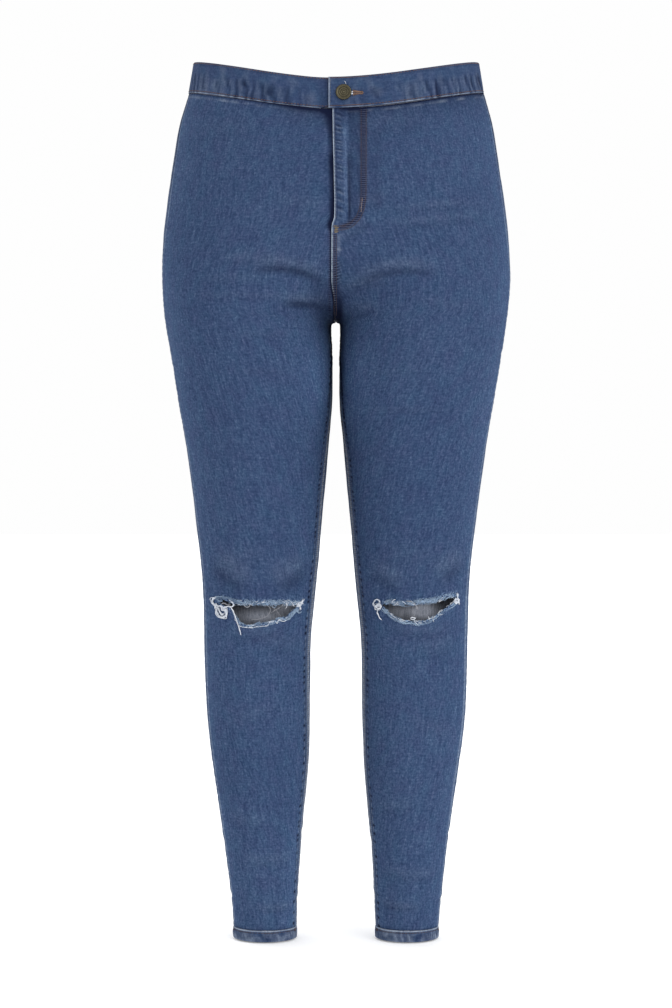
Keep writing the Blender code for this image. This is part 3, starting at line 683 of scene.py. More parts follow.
def painted_light_field(panel, share, drop, normals):
    """Painted light: how much lighter the denim is drawn. Painted sheen down the sides, painted light inside
    the thighs and down the insides of the legs, where they shade each other, a lighter blue below the knees
    and towards the hems, and painted light along the front rise's folded edge and the fly's ridge."""
    outward_x = normals[:, 0] * panel.side
    side, thigh, leg, ankle = (0.22, 0.55, 0.17, 0.9) if panel.side > 0 else (0.20, 0.80, 0.32, 0.6)
    # painted sheen where the sides turn away; painted light where the legs face and shade each other
    sides = side * bell(1 - outward_x, 0.10) + 0.15 * bell(1 - outward_x, 0.26)
    inwards = bell(1 + outward_x, 0.30)
    thighs = thigh * bell(drop - 0.360, 0.052) * smooth_step(CROTCH - 0.020, CROTCH + 0.004, drop)
    legs = leg * (smooth_step(0.40, 0.52, drop) + ankle * smooth_step(0.80, 0.90, drop)) * (drop > CROTCH)
    # a lighter blue below the knees and again towards the hems
    lower_lighter = 0.06 * smooth_step(0.60, 0.68, drop) + 0.05 * smooth_step(0.80, 0.90, drop)
    painted_light = sides * (0.5 if panel.back else 1) + inwards * (thighs + legs) + lower_lighter
    if panel.name == "front_left":
        arc, _ = arc_at(panel, share, drop)
        edge = 0.10 + 1.10 * between(0.188, 0.205, 0.300, 0.324, drop)
        ridge = 0.42 * between(0.050, 0.065, 0.150, 0.200, drop)
        painted_light += edge * bell(arc - 0.0003, 0.0008) + ridge * bell(arc - FLY_RIDGE, 0.0018)
    return painted_light


def ladder_field(panel, share, drop, points):
    """1 where close rows of stitches dimple the cloth, whose dips are painted in shade: beside the fly, and
    either side of the front rise. Down the inseams they tint it."""
    x, z = points[:, 0] / MM, points[:, 2] / MM
    if panel.back:
        arc, width = arc_at(panel, share, drop)
        return 0.30 * bell(width - arc - 0.0070, 0.0060) * smooth_step(0.40, 0.47, drop)
    if panel.side < 0:
        return 0.6 * bell(x + 6.9, 1.2) * between(-296, -280, -202, -192, z)
    above_turn = smooth_step(-176, -168, z)
    straight = bell(x - 30.2, 3.6) * above_turn * (1 - smooth_step(-70, -68, z))
    curved = bell(np.hypot(x - 2, z + 171) - 27.5, 2.6) * smooth_step(0, 8, x) * (1 - above_turn)
    rise = bell(x + 1.4, 2.2) * between(-290, -270, -206, -200, z)
    return straight + (1.6 - 0.8 * smooth_step(12, 22, x)) * curved + 0.75 * rise


def graded(start, end, spacing):
    """Values from start to end, as far apart at each as spacing says there."""
    fine = np.linspace(start, end, 6001)
    counts = np.cumsum(np.diff(fine) / spacing((fine[1:] + fine[:-1]) / 2))
    counts = np.concatenate([[0], counts])
    return np.interp(np.linspace(0, counts[-1], math.ceil(counts[-1]) + 1), counts, fine)


def unit_grid(columns, rows, fine_columns=0, cuts=0, hole=None, is_ring=False):
    """A grid whose points sit at x, y = column, row, extruded so that its second layer is at z = 1. The
    outermost columns have extra rows, and hole says which faces are left out, from their middles."""
    bm = bmesh.new()
    bmesh.ops.create_grid(bm, x_segments=columns - 1, y_segments=rows - 1, size=1)
    column = bm.verts.layers.float.new("column")
    row = bm.verts.layers.float.new("row")
    for vert in bm.verts:
        vert.co = (round((vert.co.x + 1) / 2 * (columns - 1)), round((1 - vert.co.y) / 2 * (rows - 1)), 0)
    if hole:
        bm.faces.ensure_lookup_table()
        gone = [face for face in bm.faces if hole(*face.calc_center_median()[:2])]
        bmesh.ops.delete(bm, geom=gone, context="FACES")
    if cuts:
        last = columns - 1 - fine_columns
        upright = [
            edge for edge in bm.edges
            if edge.verts[0].co.x == edge.verts[1].co.x and not fine_columns < edge.verts[0].co.x < last
        ]
        bmesh.ops.subdivide_edges(bm, edges=upright, cuts=cuts, use_grid_fill=True)
    for vert in bm.verts:
        vert[column], vert[row] = vert.co.x, vert.co.y
    if is_ring:
        first = {round(v.co.y, 3): v for v in bm.verts if v.co.x == 0}
        last = [v for v in bm.verts if v.co.x == columns - 1]
        bmesh.ops.weld_verts(bm, targetmap={v: first[round(v.co.y, 3)] for v in last})
    layer = bmesh.ops.extrude_face_region(bm, geom=list(bm.faces), use_keep_orig=True)["geom"]
    for vert in layer:
        if isinstance(vert, bmesh.types.BMVert):
            vert.co.z = 1
    at = np.array([(v[column], v[row], v.co.z) for v in bm.verts])
    return bm, at


def add_object(name, data):
    made = bpy.data.objects.new(name, data)
    bpy.context.scene.collection.objects.link(made)
    return made


def set_attributes(mesh, values):
    """Gives a mesh named point attributes: a number or a vector for each of its points."""
    for key, value in values.items():
        kind, slot = ("FLOAT_VECTOR", "vector") if np.ndim(value) == 2 else ("FLOAT", "value")
        made = mesh.attributes.new(key, kind, "POINT")
        made.data.foreach_set(slot, np.ascontiguousarray(value, np.float32).ravel())


def shell(name, bm, at, outer, inner, values, looks):
    """Moves a unit grid's two layers to the outer and inner points and turns it into a piece whose inner
    faces have the second look. values are its named point attributes."""
    is_inner = at[:, 2] > 0.5
    points = np.where(is_inner[:, None], inner, outer)
    for vert, point in zip(bm.verts, points.tolist()):
        vert.co = point
    bmesh.ops.recalc_face_normals(bm, faces=bm.faces)
    bm.verts.index_update()
    for face in bm.faces:
        face.smooth = True
        face.material_index = int(all(is_inner[vert.index] for vert in face.verts))
    mesh = bpy.data.meshes.new(name)
    bm.to_mesh(mesh)
    bm.free()
    for spare in ("column", "row"):
        mesh.attributes.remove(mesh.attributes[spare])
    set_attributes(mesh, values)
    mesh.set_sharp_from_angle(angle=math.radians(60))
    for look in looks:
        mesh.materials.append(look)
    return add_object(name, mesh)


ROW_PITCH, FRONT_PITCH, BACK_PITCH, EDGE_PITCH = 0.0031, 0.0019, 0.0032, 0.0009
FINE_COLUMNS = 9  # at each edge, where the rows too are three times as close


def row_spacing(drop):
    """Rows are close over the knees, where the cloth is torn, and at both ends."""
    closer = 0.0018 * bell(drop - SLIT - 0.004, 0.020) + 0.0022 * bell(drop - PANEL_TOP, 0.007)
    return ROW_PITCH - closer - 0.0016 * bell(PANEL_END - drop, 0.005)


def panel_columns(panel):
    """Shares of the width: close along both seams and where the knee is torn."""
    _, width = arc_at(panel, np.array([1.0]), np.array([SLIT]))
    width = float(width[0])

    def spacing(share):
        edge = np.minimum(share, 1 - share) * width
        middle = BACK_PITCH if panel.back else FRONT_PITCH
        return (EDGE_PITCH + (middle - EDGE_PITCH) * smooth_step(0.005, 0.012, edge)) / width

    return graded(0, 1, spacing)


# Where light reaches the inside: x and z of its middle and its two widths in millimetres, and how much.
GLOWS = (
    (-88, -630, 25, 8, 0.935), (-60, -621, 12, 7, 0.418),
    (74, -626, 17, 7.5, 0.55), (101, -624, 14, 8.5, 1.32),
)
INSIDE_GLOW, EDGE_GLOW = 0.015, 0.05


def inside_glow(points):
    """How much light reaches the inside: most behind the middle of each rip."""
    at_x, at_z, wide, high, strength = np.array(GLOWS).T
    x, z = points[:, 0, None] / MM, points[:, 2, None] / MM
    return INSIDE_GLOW + (bell(x - at_x, wide) * bell(z - at_z, high)) @ strength


def cloth_panel(panel, looks):
    """One front or back: a thin shell with its seams, puckers, creases and rip."""
    shares, rows = panel_columns(panel), graded(PANEL_TOP, PANEL_END, row_spacing)
    hole = None
    if not panel.back:
        rows = np.delete(rows, np.argmin(np.abs(rows - SLIT)))
        rows = np.sort(np.concatenate([rows, [SLIT - SLIT_HALF, SLIT + SLIT_HALF]]))
        slit_row = int(np.argmin(np.abs(rows - SLIT + SLIT_HALF)))
        slit_x = np.interp(shares, panel.shares, np.abs(panel.inner_x))
        start, end = slit_span(panel.side)

        def hole(column, row):
            return int(row) == slit_row and start < at_index(column, slit_x) < end

    bm, at = unit_grid(len(shares), len(rows), FINE_COLUMNS, 2, hole)
    share, drop = at_index(at[:, 0], shares), at_index(at[:, 1], rows)
    moved, near, curl = drop, np.zeros(len(drop)), np.zeros(len(drop))
    if not panel.back:
        moved, near, curl = opened(panel.side, np.interp(share, panel.shares, np.abs(panel.inner_x)), drop)
    _, width = arc_at(panel, share, moved)
    turn = panel_turn(panel.side, panel.back, share, moved, width)
    points, normals = placed(turn, moved)
    points[:, 0] = np.where(turn > 0, np.maximum(points[:, 0], SEWN_GAP / 2), points[:, 0])
    points, normals = on_side(panel.side, points, normals)
    lift, wear, shade = panel_field(panel, share, moved, points, normals)
    lift += curl
    if not panel.back:
        lift += panel.side * HALF_LAP * fly_share(points, moved)
        points = front_seam_shift(points)
    outer, inner = (points + normals * out[:, None] for out in (lift, lift - CLOTH))
    arc, width = arc_at(panel, share, drop)
    across = arc if panel.back else width - arc
    ladder = ladder_field(panel, share, moved, points)
    grain = np.stack([across + 0.5 * panel.side + 2 * panel.back, drop, np.zeros(len(drop))], axis=1)
    values = {
        "grain": grain, "wear": wear, "shade": shade, "fray": near, "ladder": ladder,
        "painted_light": painted_light_field(panel, share, moved, normals),
        "glow": inside_glow(points), "flecks": 1 - 0.5 * np.clip(ladder, 0, 1),
    }
    piece = shell(f"cloth_{panel.name}", bm, at, outer, inner, values, looks)
    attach(piece, "root")
    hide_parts(panel.name)
    return piece


def sheet_size(panel):
    """A panel's flat width, length and area, from the arcs of its rows."""
    widths = panel.arcs[:, -1]
    length = PANEL_END - PANEL_TOP
    return (float(widths.max()), length), float(widths.mean() * length)


# ---- waistband

def band_turn_range():
    over = -x_to_turn(BAND_OVERLAP + FRONT_SEAM_X, 0)
    under = x_to_turn(BAND_UNDERLAP, 0)
    return over, 4 + under


def band_lap(turn):
    """How far the waistband stands out, over, or in, under, where its ends lap."""
    half_lap = (WAISTBAND_WALL + SEAM_GAP) / 2
    over = 1 - smooth_step(BAND_LEVEL, BAND_LEVEL + BAND_RAMP, turn)
    under = smooth_step(4 - BAND_LEVEL - BAND_RAMP, 4 - BAND_LEVEL, turn)
    return half_lap * (over - under)


FOLD = 0.0014  # the radius of a folded edge


def folded_shell(name, grid, form, edge, wall, values, looks):
    """A piece of doubled cloth whose edges are folded: form is its outer points, normals and lift, and
    edge is how far each point lies from its nearest edge."""
    bm, at = grid
    points, normals, lift = form
    t = 1 - np.clip(edge / FOLD, 0, 1)
    inset = wall / 2 * (1 - np.sqrt(np.maximum(1 - t * t, 0))) * 0.96
    outer = points + normals * (lift - inset)[:, None]
    inner = points + normals * (lift - wall + inset)[:, None]
    return shell(name, bm, at, outer, inner, values, looks)


BAND_STITCH_TOP, BAND_STITCH_LOW = 0.0016, 0.0323
BAND_PUCKERS = puckers(71, -0.2, 4.6, 0.026)
BAND_ROPES = puckers(73, -0.2, 4.6, 0.061)
HALF_GIRTH = 0.225


def band_point(turn, drop):
    """Outer points of the waistband, its normals, lift, wear and shade, at turns and drops."""
    points, normals = placed(turn, drop)
    points = front_seam_shift(points)
    patch, soft = ripple(points, FINE_WAVES), ripple(points, SOFT_WAVES)
    fine = pucker_wave(BAND_PUCKERS, turn + 0.5 * (drop - 0.02) + 0.012 * soft)
    broad = pucker_wave(BAND_ROPES, turn - 0.9 * (drop - 0.02) + 0.010 * patch)
    wave = np.clip(0.30 * fine + 0.85 * broad + 0.30 * patch + 0.15 * soft, 0, 1.2)
    away = smooth_step(0.03, 0.5, np.minimum(np.abs(turn), np.abs(4 - turn)))
    low = smooth_step(0.009, 0.019, drop)
    stitched = bell(drop - BAND_STITCH_LOW, 0.0012) + bell(drop - BAND_STITCH_TOP, 0.0010)
    lift = 0.0004 * bell(drop - 0.016, 0.012) - 0.00035 * stitched
    lift += 0.00030 * soft - 0.00075 * wave * low * (0.35 + 0.65 * away)
    lower_edge = WAISTBAND_HEIGHT - drop
    wear = (2.5 + 1.3 * patch) * bell(lower_edge - 0.0006, 0.00030) * (0.55 + 0.45 * away)
    wear += (0.36 - 0.80 * wave) * low * (0.25 + 0.75 * away) + 0.24 * patch
    over_end = band_turn_range()[0]
    wear += 2.4 * bell((turn - over_end) * HALF_GIRTH - 0.0009, 0.0009)
    shade = 0.95 * wave * low * (0.3 + 0.7 * away) + 0.55 * bell(lower_edge - 0.0018, 0.0006) + 0.10
    shade += 0.6 * bell(drop - 0.0004, 0.0008) + 0.30 * bell(drop - 0.0032, 0.0010)
    shade += 1.2 * bell(lower_edge, 0.00025)
    # painted shadow that the over end casts on the under end
    beyond = np.maximum(4 + over_end - turn, 0) * HALF_GIRTH
    shade += 0.85 * np.exp(-beyond / 0.0055) * (turn > 3)
    return points, normals, PROUD + lift + band_lap(turn), np.where(turn > 4, 0, wear), shade


def waistband(looks):
    start, end = band_turn_range()

    def turn_spacing(turn):
        return (0.0016 - 0.0010 * bell(np.minimum(turn - start, end - turn), 0.02)) / HALF_GIRTH

    def drop_spacing(drop):
        return 0.0017 - 0.00145 * bell(np.minimum(drop, WAISTBAND_HEIGHT - drop), 0.0012)

    turns, drops = graded(start, end, turn_spacing), graded(0, WAISTBAND_HEIGHT, drop_spacing)
    bm, at = unit_grid(len(turns), len(drops))
    turn, drop = at_index(at[:, 0], turns), at_index(at[:, 1], drops)
    drop = drop * (1 - 0.05 * smooth_step(3.9, 3.99, turn))
    *form, wear, shade = band_point(turn, drop)
    from_ends = np.minimum(turn - start, end - turn) * HALF_GIRTH
    edge = np.minimum(np.minimum(drop, WAISTBAND_HEIGHT - drop), from_ends)
    is_inner = at[:, 2] > 0.5
    # painted shade: the inner layer, and so the underside of each folded edge, is fully shaded and unworn
    values = {
        "grain": np.stack([drop + 5, turn * HALF_GIRTH, np.zeros(len(turn))], axis=1),
        "wear": np.where(is_inner, 0, wear), "shade": np.where(is_inner, 1, shade),
        "glow": np.full(len(turn), EDGE_GLOW), "flecks": np.full(len(turn), 0.6),
    }
    piece = folded_shell("cloth_waistband", (bm, at), form, edge, WAISTBAND_WALL, values, looks)
    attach(piece, "root")
    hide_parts("waistband")
    return piece


# ---- hems

HEM_TOP, HEM_STITCH = LENGTH - HEM_HEIGHT, 0.0026
HEM_SEAMS = (OUTSEAM - OUTSEAM_SWING, INSEAM_TURN + INSEAM_SWING - math.pi / 2)
HEM_RADIUS, HEM_TWISTS, HEM_COLUMNS = 0.037, 34, 151


def hem_point(side, angle, drop):
    """Outer points of a hem, normals, lift, wear, shade and distance round the leg. It is roped: twisted
    ridges lean along it."""
    points = on_form(angle, -drop)
    points, normals = on_side(side, points, outward(points))
    around = side * angle
    above_end = LENGTH - drop
    heights = np.random.default_rng(31 + side).uniform(0.0, 1.0, HEM_TWISTS) ** 1.3
    phase = (around / (2 * math.pi) % 1) * HEM_TWISTS + 1.1 * np.sin(around * 7 + side) + above_end * 62
    wave = heights[(np.floor(phase) % HEM_TWISTS).astype(int)] * (0.5 - 0.5 * np.cos(2 * math.pi * phase))
    middle = bell(above_end - 0.0058, 0.0046)
    stitched = bell(drop - HEM_TOP - HEM_STITCH, 0.0009)
    patch = ripple(points, FINE_WAVES)
    outer, inner = HEM_SEAMS
    seams = bell(np.minimum(np.abs(angle - outer), np.abs(angle - 2 * math.pi - inner)) * HEM_RADIUS, 0.0030)
    lift = 0.0005 * middle + 0.00085 * (wave - 0.4) * middle - 0.0004 * stitched + 0.0007 * seams * middle
    wear = 1.35 * wave * middle + 2.5 * bell(drop - HEM_TOP - 0.0006, 0.0006) + 0.9 * seams * middle
    wear += 0.9 * bell(above_end, 0.0016) * (0.6 + 0.5 * patch) + 0.34 + 0.42 * patch
    shade = 1.1 * (0.50 - wave).clip(0) * middle + 0.9 * stitched * (patch > -0.2)
    return points, normals, PROUD + lift, wear, shade, around * HEM_RADIUS


def hem(side, looks):
    def spacing(drop):
        return 0.0011 - 0.0008 * bell(np.minimum(LENGTH - drop, drop - HEM_TOP), 0.0015)

    drops = graded(HEM_TOP, LENGTH, spacing)
    bm, at = unit_grid(HEM_COLUMNS, len(drops), is_ring=True)
    angle, drop = at[:, 0] / (HEM_COLUMNS - 1) * 2 * math.pi, at_index(at[:, 1], drops)
    *form, wear, shade, along = hem_point(side, angle, drop)
    values = {
        "grain": np.stack([along + 7 + side, drop, np.zeros(len(drop))], axis=1),
        "wear": np.where(at[:, 2] > 0.5, 0.2, wear), "shade": shade,
        "glow": np.full(len(drop), EDGE_GLOW), "flecks": np.full(len(drop), 0.85),
    }
    edge = np.minimum(drop - HEM_TOP, LENGTH - drop)
    word = "left" if side > 0 else "right"
    piece = folded_shell(f"cloth_hem_{word}", (bm, at), form, edge, HEM_WALL, values, looks)
    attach(piece, "root")
    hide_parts(f"hem_{word}")
    return piece


# ---- materials

class Value:
    """The output of a material's node. Sums and products of it make more nodes."""

    def __init__(self, look, socket):
        self.look, self.socket = look, socket

    def __add__(self, other):
        return self.look.math("ADD", self, other)

    def __sub__(self, other):
        return self.look.math("SUBTRACT", self, other)

    def __mul__(self, other):
        return self.look.math("MULTIPLY", self, other)

    def clamped(self):
        self.socket.node.use_clamp = True
        return self


class Look:
    """A material, and short calls for its nodes."""

    def __init__(self, name):
        self.material = bpy.data.materials.new(name)
        self.material.use_nodes = True
        self.tree = self.material.node_tree

    def put(self, socket, value):
        if isinstance(value, Value):
            self.tree.links.new(value.socket, socket)
        else:
            socket.default_value = (*value, 1) if socket.type == "RGBA" else value

    def node(self, kind, inputs, output=0, **settings):
        """One output of a new node. Its settings come first, because they decide which inputs it has."""
        made = self.tree.nodes.new(f"ShaderNode{kind}")
        for key, value in settings.items():
            setattr(made, key, value)
        for key, value in inputs.items():
            self.put(made.inputs[key], value)
        return Value(self, made.outputs[output])

    def attribute(self, name, output="Fac"):
        return self.node("Attribute", {}, output, attribute_name=name)

    def place(self):
        return self.node("TexCoord", {}, "Object")

    def math(self, operation, *values):
        return self.node("Math", dict(enumerate(values)), operation=operation)

    def vector(self, operation, a, b):
        return self.node("VectorMath", {0: a, "Scale" if operation == "SCALE" else 1: b}, operation=operation)

    def noise(self, place, scale, detail=2.0, roughness=0.5):
        """Noise from -1 to 1 whose cells are 1 / scale across, per axis."""
        cells = self.vector("MULTIPLY", place, scale)
        inputs = {"Vector": cells, "Scale": 1.0, "Detail": detail, "Roughness": roughness}
        return (self.node("TexNoise", inputs, "Fac") - 0.5) * 2.0

    def mix(self, factor, a, b):
        return self.node("Mix", {"Factor": factor, "A": a, "B": b}, "Result", data_type="RGBA")

    def bump(self, height, distance, strength):
        return self.node("Bump", {"Height": height, "Distance": distance, "Strength": strength}, "Normal")

    def surface(self, inputs):
        """The material, once its surface has the inputs."""
        for key, value in inputs.items():
            self.put(self.tree.nodes["Principled BSDF"].inputs[key], value)
        return self.material


ONES = (1, 1, 1)
# The weave's kinds of noise: cells to the metre across and down, detail, roughness, and how much each one
# lightens and darkens the blue. The twill does so too.
Weave = namedtuple("Weave", "across down detail roughness share")
WEAVES = {
    "warp": Weave(520, 150, 2.0, 0.60, 0.64), "weft": Weave(130, 560, 1.0, 0.55, 0.36),
    "fleck": Weave(470, 400, 1.0, 0.60, 0.66), "fine": Weave(1300, 900, 1.0, 0.60, 0.22),
    "slub": Weave(300, 36, 1.0, 0.50, 0.36), "mottle": Weave(60, 46, 3.0, 0.55, 0.15),
    "cloud": Weave(9, 7, 2.0, 0.50, 0.13),
}
TWILL_SHARE = 0.04
# How much of that each channel takes: the weft is pale grey, so the blue changes least.
THREADS_PER_CHANNEL = (1.30, 1.02, 0.74)
# how much of the painted light each channel takes
PAINTED_LIGHT_PER_CHANNEL = (0.92, 1.00, 0.88)
# the colour that painted shade darkens the blue towards
DENIM_DARK = (0.0056, 0.0088, 0.0270)
DENIM_PALE = (0.3000, 0.3480, 0.4350)
DENIM_VIOLET = (0.0368, 0.0550, 0.1210)
DENIM_TEAL = (0.0303, 0.0596, 0.1220)
DENIM_BROWNED = (0.0640, 0.0590, 0.0840)
LIP_BLUE = (0.1700, 0.2550, 0.3900)
REVERSE_DARK, REVERSE_PALE = (0.100, 0.112, 0.140), (0.265, 0.280, 0.325)


def denim_look():
    """The face: blue warp over a pale weft, in a twill, with slubs, mottling, worn seams and frayed lips."""
    look = Look("denim_face")
    grain = look.attribute("grain", "Vector")
    wear, shade, fray, ladder = (look.attribute(name) for name in ("wear", "shade", "fray", "ladder"))
    noises = {
        name: look.noise(grain, (weave.across, weave.down, 1), weave.detail, weave.roughness)
        for name, weave in WEAVES.items()
    }
    warp, fleck, fine = noises["warp"], noises["fleck"], noises["fine"]
    # twill: pale weft points on diagonals that run up to the right
    across, down = (look.node("SeparateXYZ", {0: grain}, axis) for axis in "XY")
    twill = look.math("SINE", across * 5200.0 + down * 3900.0 + fine * 1.6)
    threads = twill * TWILL_SHARE
    for name, weave in WEAVES.items():
        threads = threads + noises[name] * weave.share
    threads = threads * look.attribute("flecks")
    lighter = look.vector("ADD", look.vector("SCALE", THREADS_PER_CHANNEL, threads), ONES)
    lighter = look.vector("SCALE", look.vector("ADD", look.vector("MULTIPLY", lighter, lighter), ONES), 0.5)
    hue = look.mix((noises["mottle"] * 0.9 + 0.5).clamped(), DENIM_VIOLET, DENIM_TEAL)
    colour = look.vector("MULTIPLY", hue, lighter)
    worn = look.math("MAXIMUM", wear * (threads * 0.9 + 0.85), 0.0) * 0.36
    colour = look.mix(worn.clamped(), colour, DENIM_PALE)
    # painted light brightens the blue, worn or not, down the sides, inside the legs and along the fly's edges
    painted_light = look.vector("SCALE", PAINTED_LIGHT_PER_CHANNEL, look.attribute("painted_light"))
    colour = look.vector("MULTIPLY", colour, look.vector("ADD", painted_light, ONES))
    # ladders: brown thread, over cloth that dips under each stitch, with painted shade in each dip
    colour = look.mix(ladder * 0.50, colour, DENIM_BROWNED)
    rungs = look.math("SINE", down * 2750.0 + fleck * 1.2)
    dimple_shade = look.math("MAXIMUM", ladder * (rungs * 0.90 + 0.30), 0.0)
    # painted shade: the shade attribute and the dips under the ladders' stitches darken the blue towards
    # DENIM_DARK, as does cloth less worn than the rest
    unworn = look.math("MAXIMUM", wear * -1.0, 0.0) * 0.30
    colour = look.mix((unworn.clamped() + (shade * 0.60 + dimple_shade)).clamped(), colour, DENIM_DARK)
    lip_share = fray * (fleck * 3.4 + (warp + 0.20))
    colour = look.mix(lip_share.clamped(), colour, LIP_BLUE)
    height = twill * 0.3 + (warp + fine * 0.6)
    return look.surface({
        "Base Color": colour, "Normal": look.bump(height, 0.00016, 0.8),
        "Roughness": warp * 0.06 + 0.88, "Specular IOR Level": 0.04,
    })


def reverse_look():
    """The inside: mostly pale weft, with blue warp points between. Light comes through the cloth and in at
    the rips, and is thrown about inside; a faint glow of the cloth's own stands for that."""
    look = Look("denim_reverse")
    grain = look.attribute("grain", "Vector")
    weft = look.noise(grain, (560, 90, 1), 2.0, 0.6)
    fleck = look.noise(grain, (900, 700, 1), 2.0, 0.7)
    cloud = look.noise(grain, (14, 10, 1), 2.0, 0.5)
    threads = weft * 0.9 + fleck * 0.6 + cloud * 0.3
    colour = look.mix((threads + 0.5).clamped(), REVERSE_DARK, REVERSE_PALE)
    colour = look.mix(look.attribute("fray"), colour, LIP_BLUE)
    return look.surface({
        "Base Color": colour, "Normal": look.bump(threads, 0.00012, 0.7),
        "Roughness": fleck * 0.05 + 0.9, "Specular IOR Level": 0.15,
        "Emission Color": look.mix(look.attribute("glow"), (0, 0, 0), colour), "Emission Strength": 0.95,
    })


def thread_look(name, pale, dark, scale=900):
    """Twisted sewing thread, whose colour runs unevenly from pale to dark."""
    look = Look(name)
    place = look.place()
    twist = look.noise(place, (scale, scale, scale * 1.6), 2.0, 0.6)
    patch = look.noise(place, (70, 70, 70), 2.0, 0.5)
    share = twist * 0.7 + (patch * 0.7 + 0.5)
    return look.surface({
        "Base Color": look.mix(share.clamped(), dark, pale), "Normal": look.bump(twist, 0.00008, 0.6),
        "Roughness": twist * 0.08 + 0.72, "Specular IOR Level": 0.25,
    })


def brass_look():
    """Antique brass: darkened in its grooves and rubbed bright on its rings."""
    look = Look("antique_brass")
    place = look.place()
    patina = look.noise(place, (420, 420, 420), 4.0, 0.6)
    scratch = look.noise(place, (2600, 500, 2600), 2.0, 0.5)
    rubbed = look.attribute("wear") + patina * 0.35
    return look.surface({
        "Base Color": look.mix(rubbed.clamped(), (0.018, 0.016, 0.011), (0.128, 0.114, 0.070)),
        "Normal": look.bump(patina + scratch, 0.00003, 0.5), "Roughness": patina * 0.12 + 0.42,
        "Metallic": 0.85,
    })


def tape_look():
    """Zip tape: a fine rib across a dark navy weave."""
    look = Look("zip_tape")
    rib = look.noise(look.place(), (300, 300, 1500), 2.0, 0.5)
    colour = look.mix((rib + 0.5).clamped(), (0.008, 0.012, 0.03), (0.025, 0.035, 0.075))
    return look.surface({"Base Color": colour, "Normal": look.bump(rib, 0.0001, 0.6), "Roughness": 0.85})


def floor_look():
    look = Look("studio_floor")
    soft = look.noise(look.place(), (3, 3, 3), 2.0, 0.5)
    return look.surface({
        "Base Color": look.mix((soft + 0.5).clamped(), (0.90, 0.90, 0.90), (0.92, 0.92, 0.92)),
        "Emission Color": ONES, "Emission Strength": 0.20, "Roughness": 0.9, "Specular IOR Level": 0.1,
    })


# ---- threads and stitches

def joined(name, verts, faces, look, values=None):
    mesh = bpy.data.meshes.new(name)
    mesh.from_pydata(verts.tolist(), [], faces.tolist())
    mesh.materials.append(look)
    mesh.shade_smooth()
    set_attributes(mesh, values or {})
    piece = add_object(name, mesh)
    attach(piece, "root")
    return piece


def capsule():
    """The points and faces of a small stitch that lies along x, 1 across and 1 long."""
    bm = bmesh.new()
    bmesh.ops.create_uvsphere(bm, u_segments=6, v_segments=5, radius=0.5)
    points = np.array([vert.co for vert in bm.verts])[:, [2, 0, 1]]
    points[:, 0] = np.sign(points[:, 0]) * np.abs(points[:, 0] * 2) ** 0.55 / 2
    bmesh.ops.triangulate(bm, faces=bm.faces)
    faces = np.array([[vert.index for vert in face.verts] for face in bm.faces])
    bm.free()
    return points, faces


CAPSULE = capsule()


def stitches(name, ends, look, width, height=0.75):
    """Joined stitches, one for each (start, end, normal) in ends, lying on the cloth."""
    template, faces = CAPSULE
    start, end, normal = np.array(ends).transpose(1, 0, 2)
    along = end - start
    length = np.linalg.norm(along, axis=1, keepdims=True)
    side = np.cross(normal, along / length)
    side /= np.linalg.norm(side, axis=1, keepdims=True)
    up = np.cross(along / length, side)
    verts = ((start + end) / 2 + up * width * 0.16)[:, None]
    for axis, reach in enumerate((along, side * width, up * width * height)):
        verts = verts + template[None, :, axis, None] * reach[:, None]
    all_faces = faces[None] + len(template) * np.arange(len(ends))[:, None, None]
    return joined(name, verts.reshape(-1, 3), all_faces.reshape(-1, 3), look)


def tubes(name, lines, look, sides=4):
    """Joined tubes along lines, each a (points, radii) pair. They taper as the radii say."""
    verts, faces, first = [], [], 0
    angles = np.arange(sides)[None, :, None] * 2 * math.pi / sides
    for points, radii in lines:
        tangent = np.gradient(points, axis=0)
        tangent /= np.linalg.norm(tangent, axis=1, keepdims=True) + 1e-12
        across = np.cross(tangent, (0.31, 0.85, 0.42))
        across /= np.linalg.norm(across, axis=1, keepdims=True) + 1e-12
        ring_of = np.cos(angles) * across[:, None] + np.sin(angles) * np.cross(tangent, across)[:, None]
        verts.append((points[:, None] + ring_of * radii[:, None, None]).reshape(-1, 3))
        last = len(points) - 1
        i, k = np.meshgrid(np.arange(last), np.arange(sides), indexing="ij")
        a, b = (first + i * sides + turn for turn in (k, (k + 1) % sides))
        faces.append(np.stack([a, b, b + sides, a + sides], axis=-1).reshape(-1, 4))
        faces.append(first + np.array([np.arange(sides)[::-1], last * sides + np.arange(sides)]))
        first += len(points) * sides
    return joined(name, np.concatenate(verts), np.concatenate(faces), look)


def tree_of(pieces):
    """One tree of all the pieces' faces, to lay stitches on."""
    verts, faces, first = [], [], 0
    for piece in pieces:
        mesh = piece.data
        points = np.empty(len(mesh.vertices) * 3, np.float32)
        mesh.vertices.foreach_get("co", points)
        mesh.calc_loop_triangles()
        triangles = np.empty(len(mesh.loop_triangles) * 3, np.int32)
        mesh.loop_triangles.foreach_get("vertices", triangles)
        verts.append(points.reshape(-1, 3))
        faces.append(triangles.reshape(-1, 3) + first)
        first += len(mesh.vertices)
    verts, faces = (np.concatenate(parts).tolist() for parts in (verts, faces))
    return BVHTree.FromPolygons(verts, faces, all_triangles=True)


def laid(tree, points, normals, reach=0.012):
    """The points moved along their normals to the cloth, and the cloth's normals there."""
    settled, up = [], []
    for point, normal in zip(points, normals):
        start = Vector(point) + Vector(normal) * reach
        hit, facing, _, _ = tree.ray_cast(start, -Vector(normal), 2 * reach)
        settled.append(point if hit is None else tuple(hit))
        up.append(normal if hit is None or facing.dot(Vector(normal)) < 0.3 else tuple(facing))
    return np.array(settled), np.array(up)


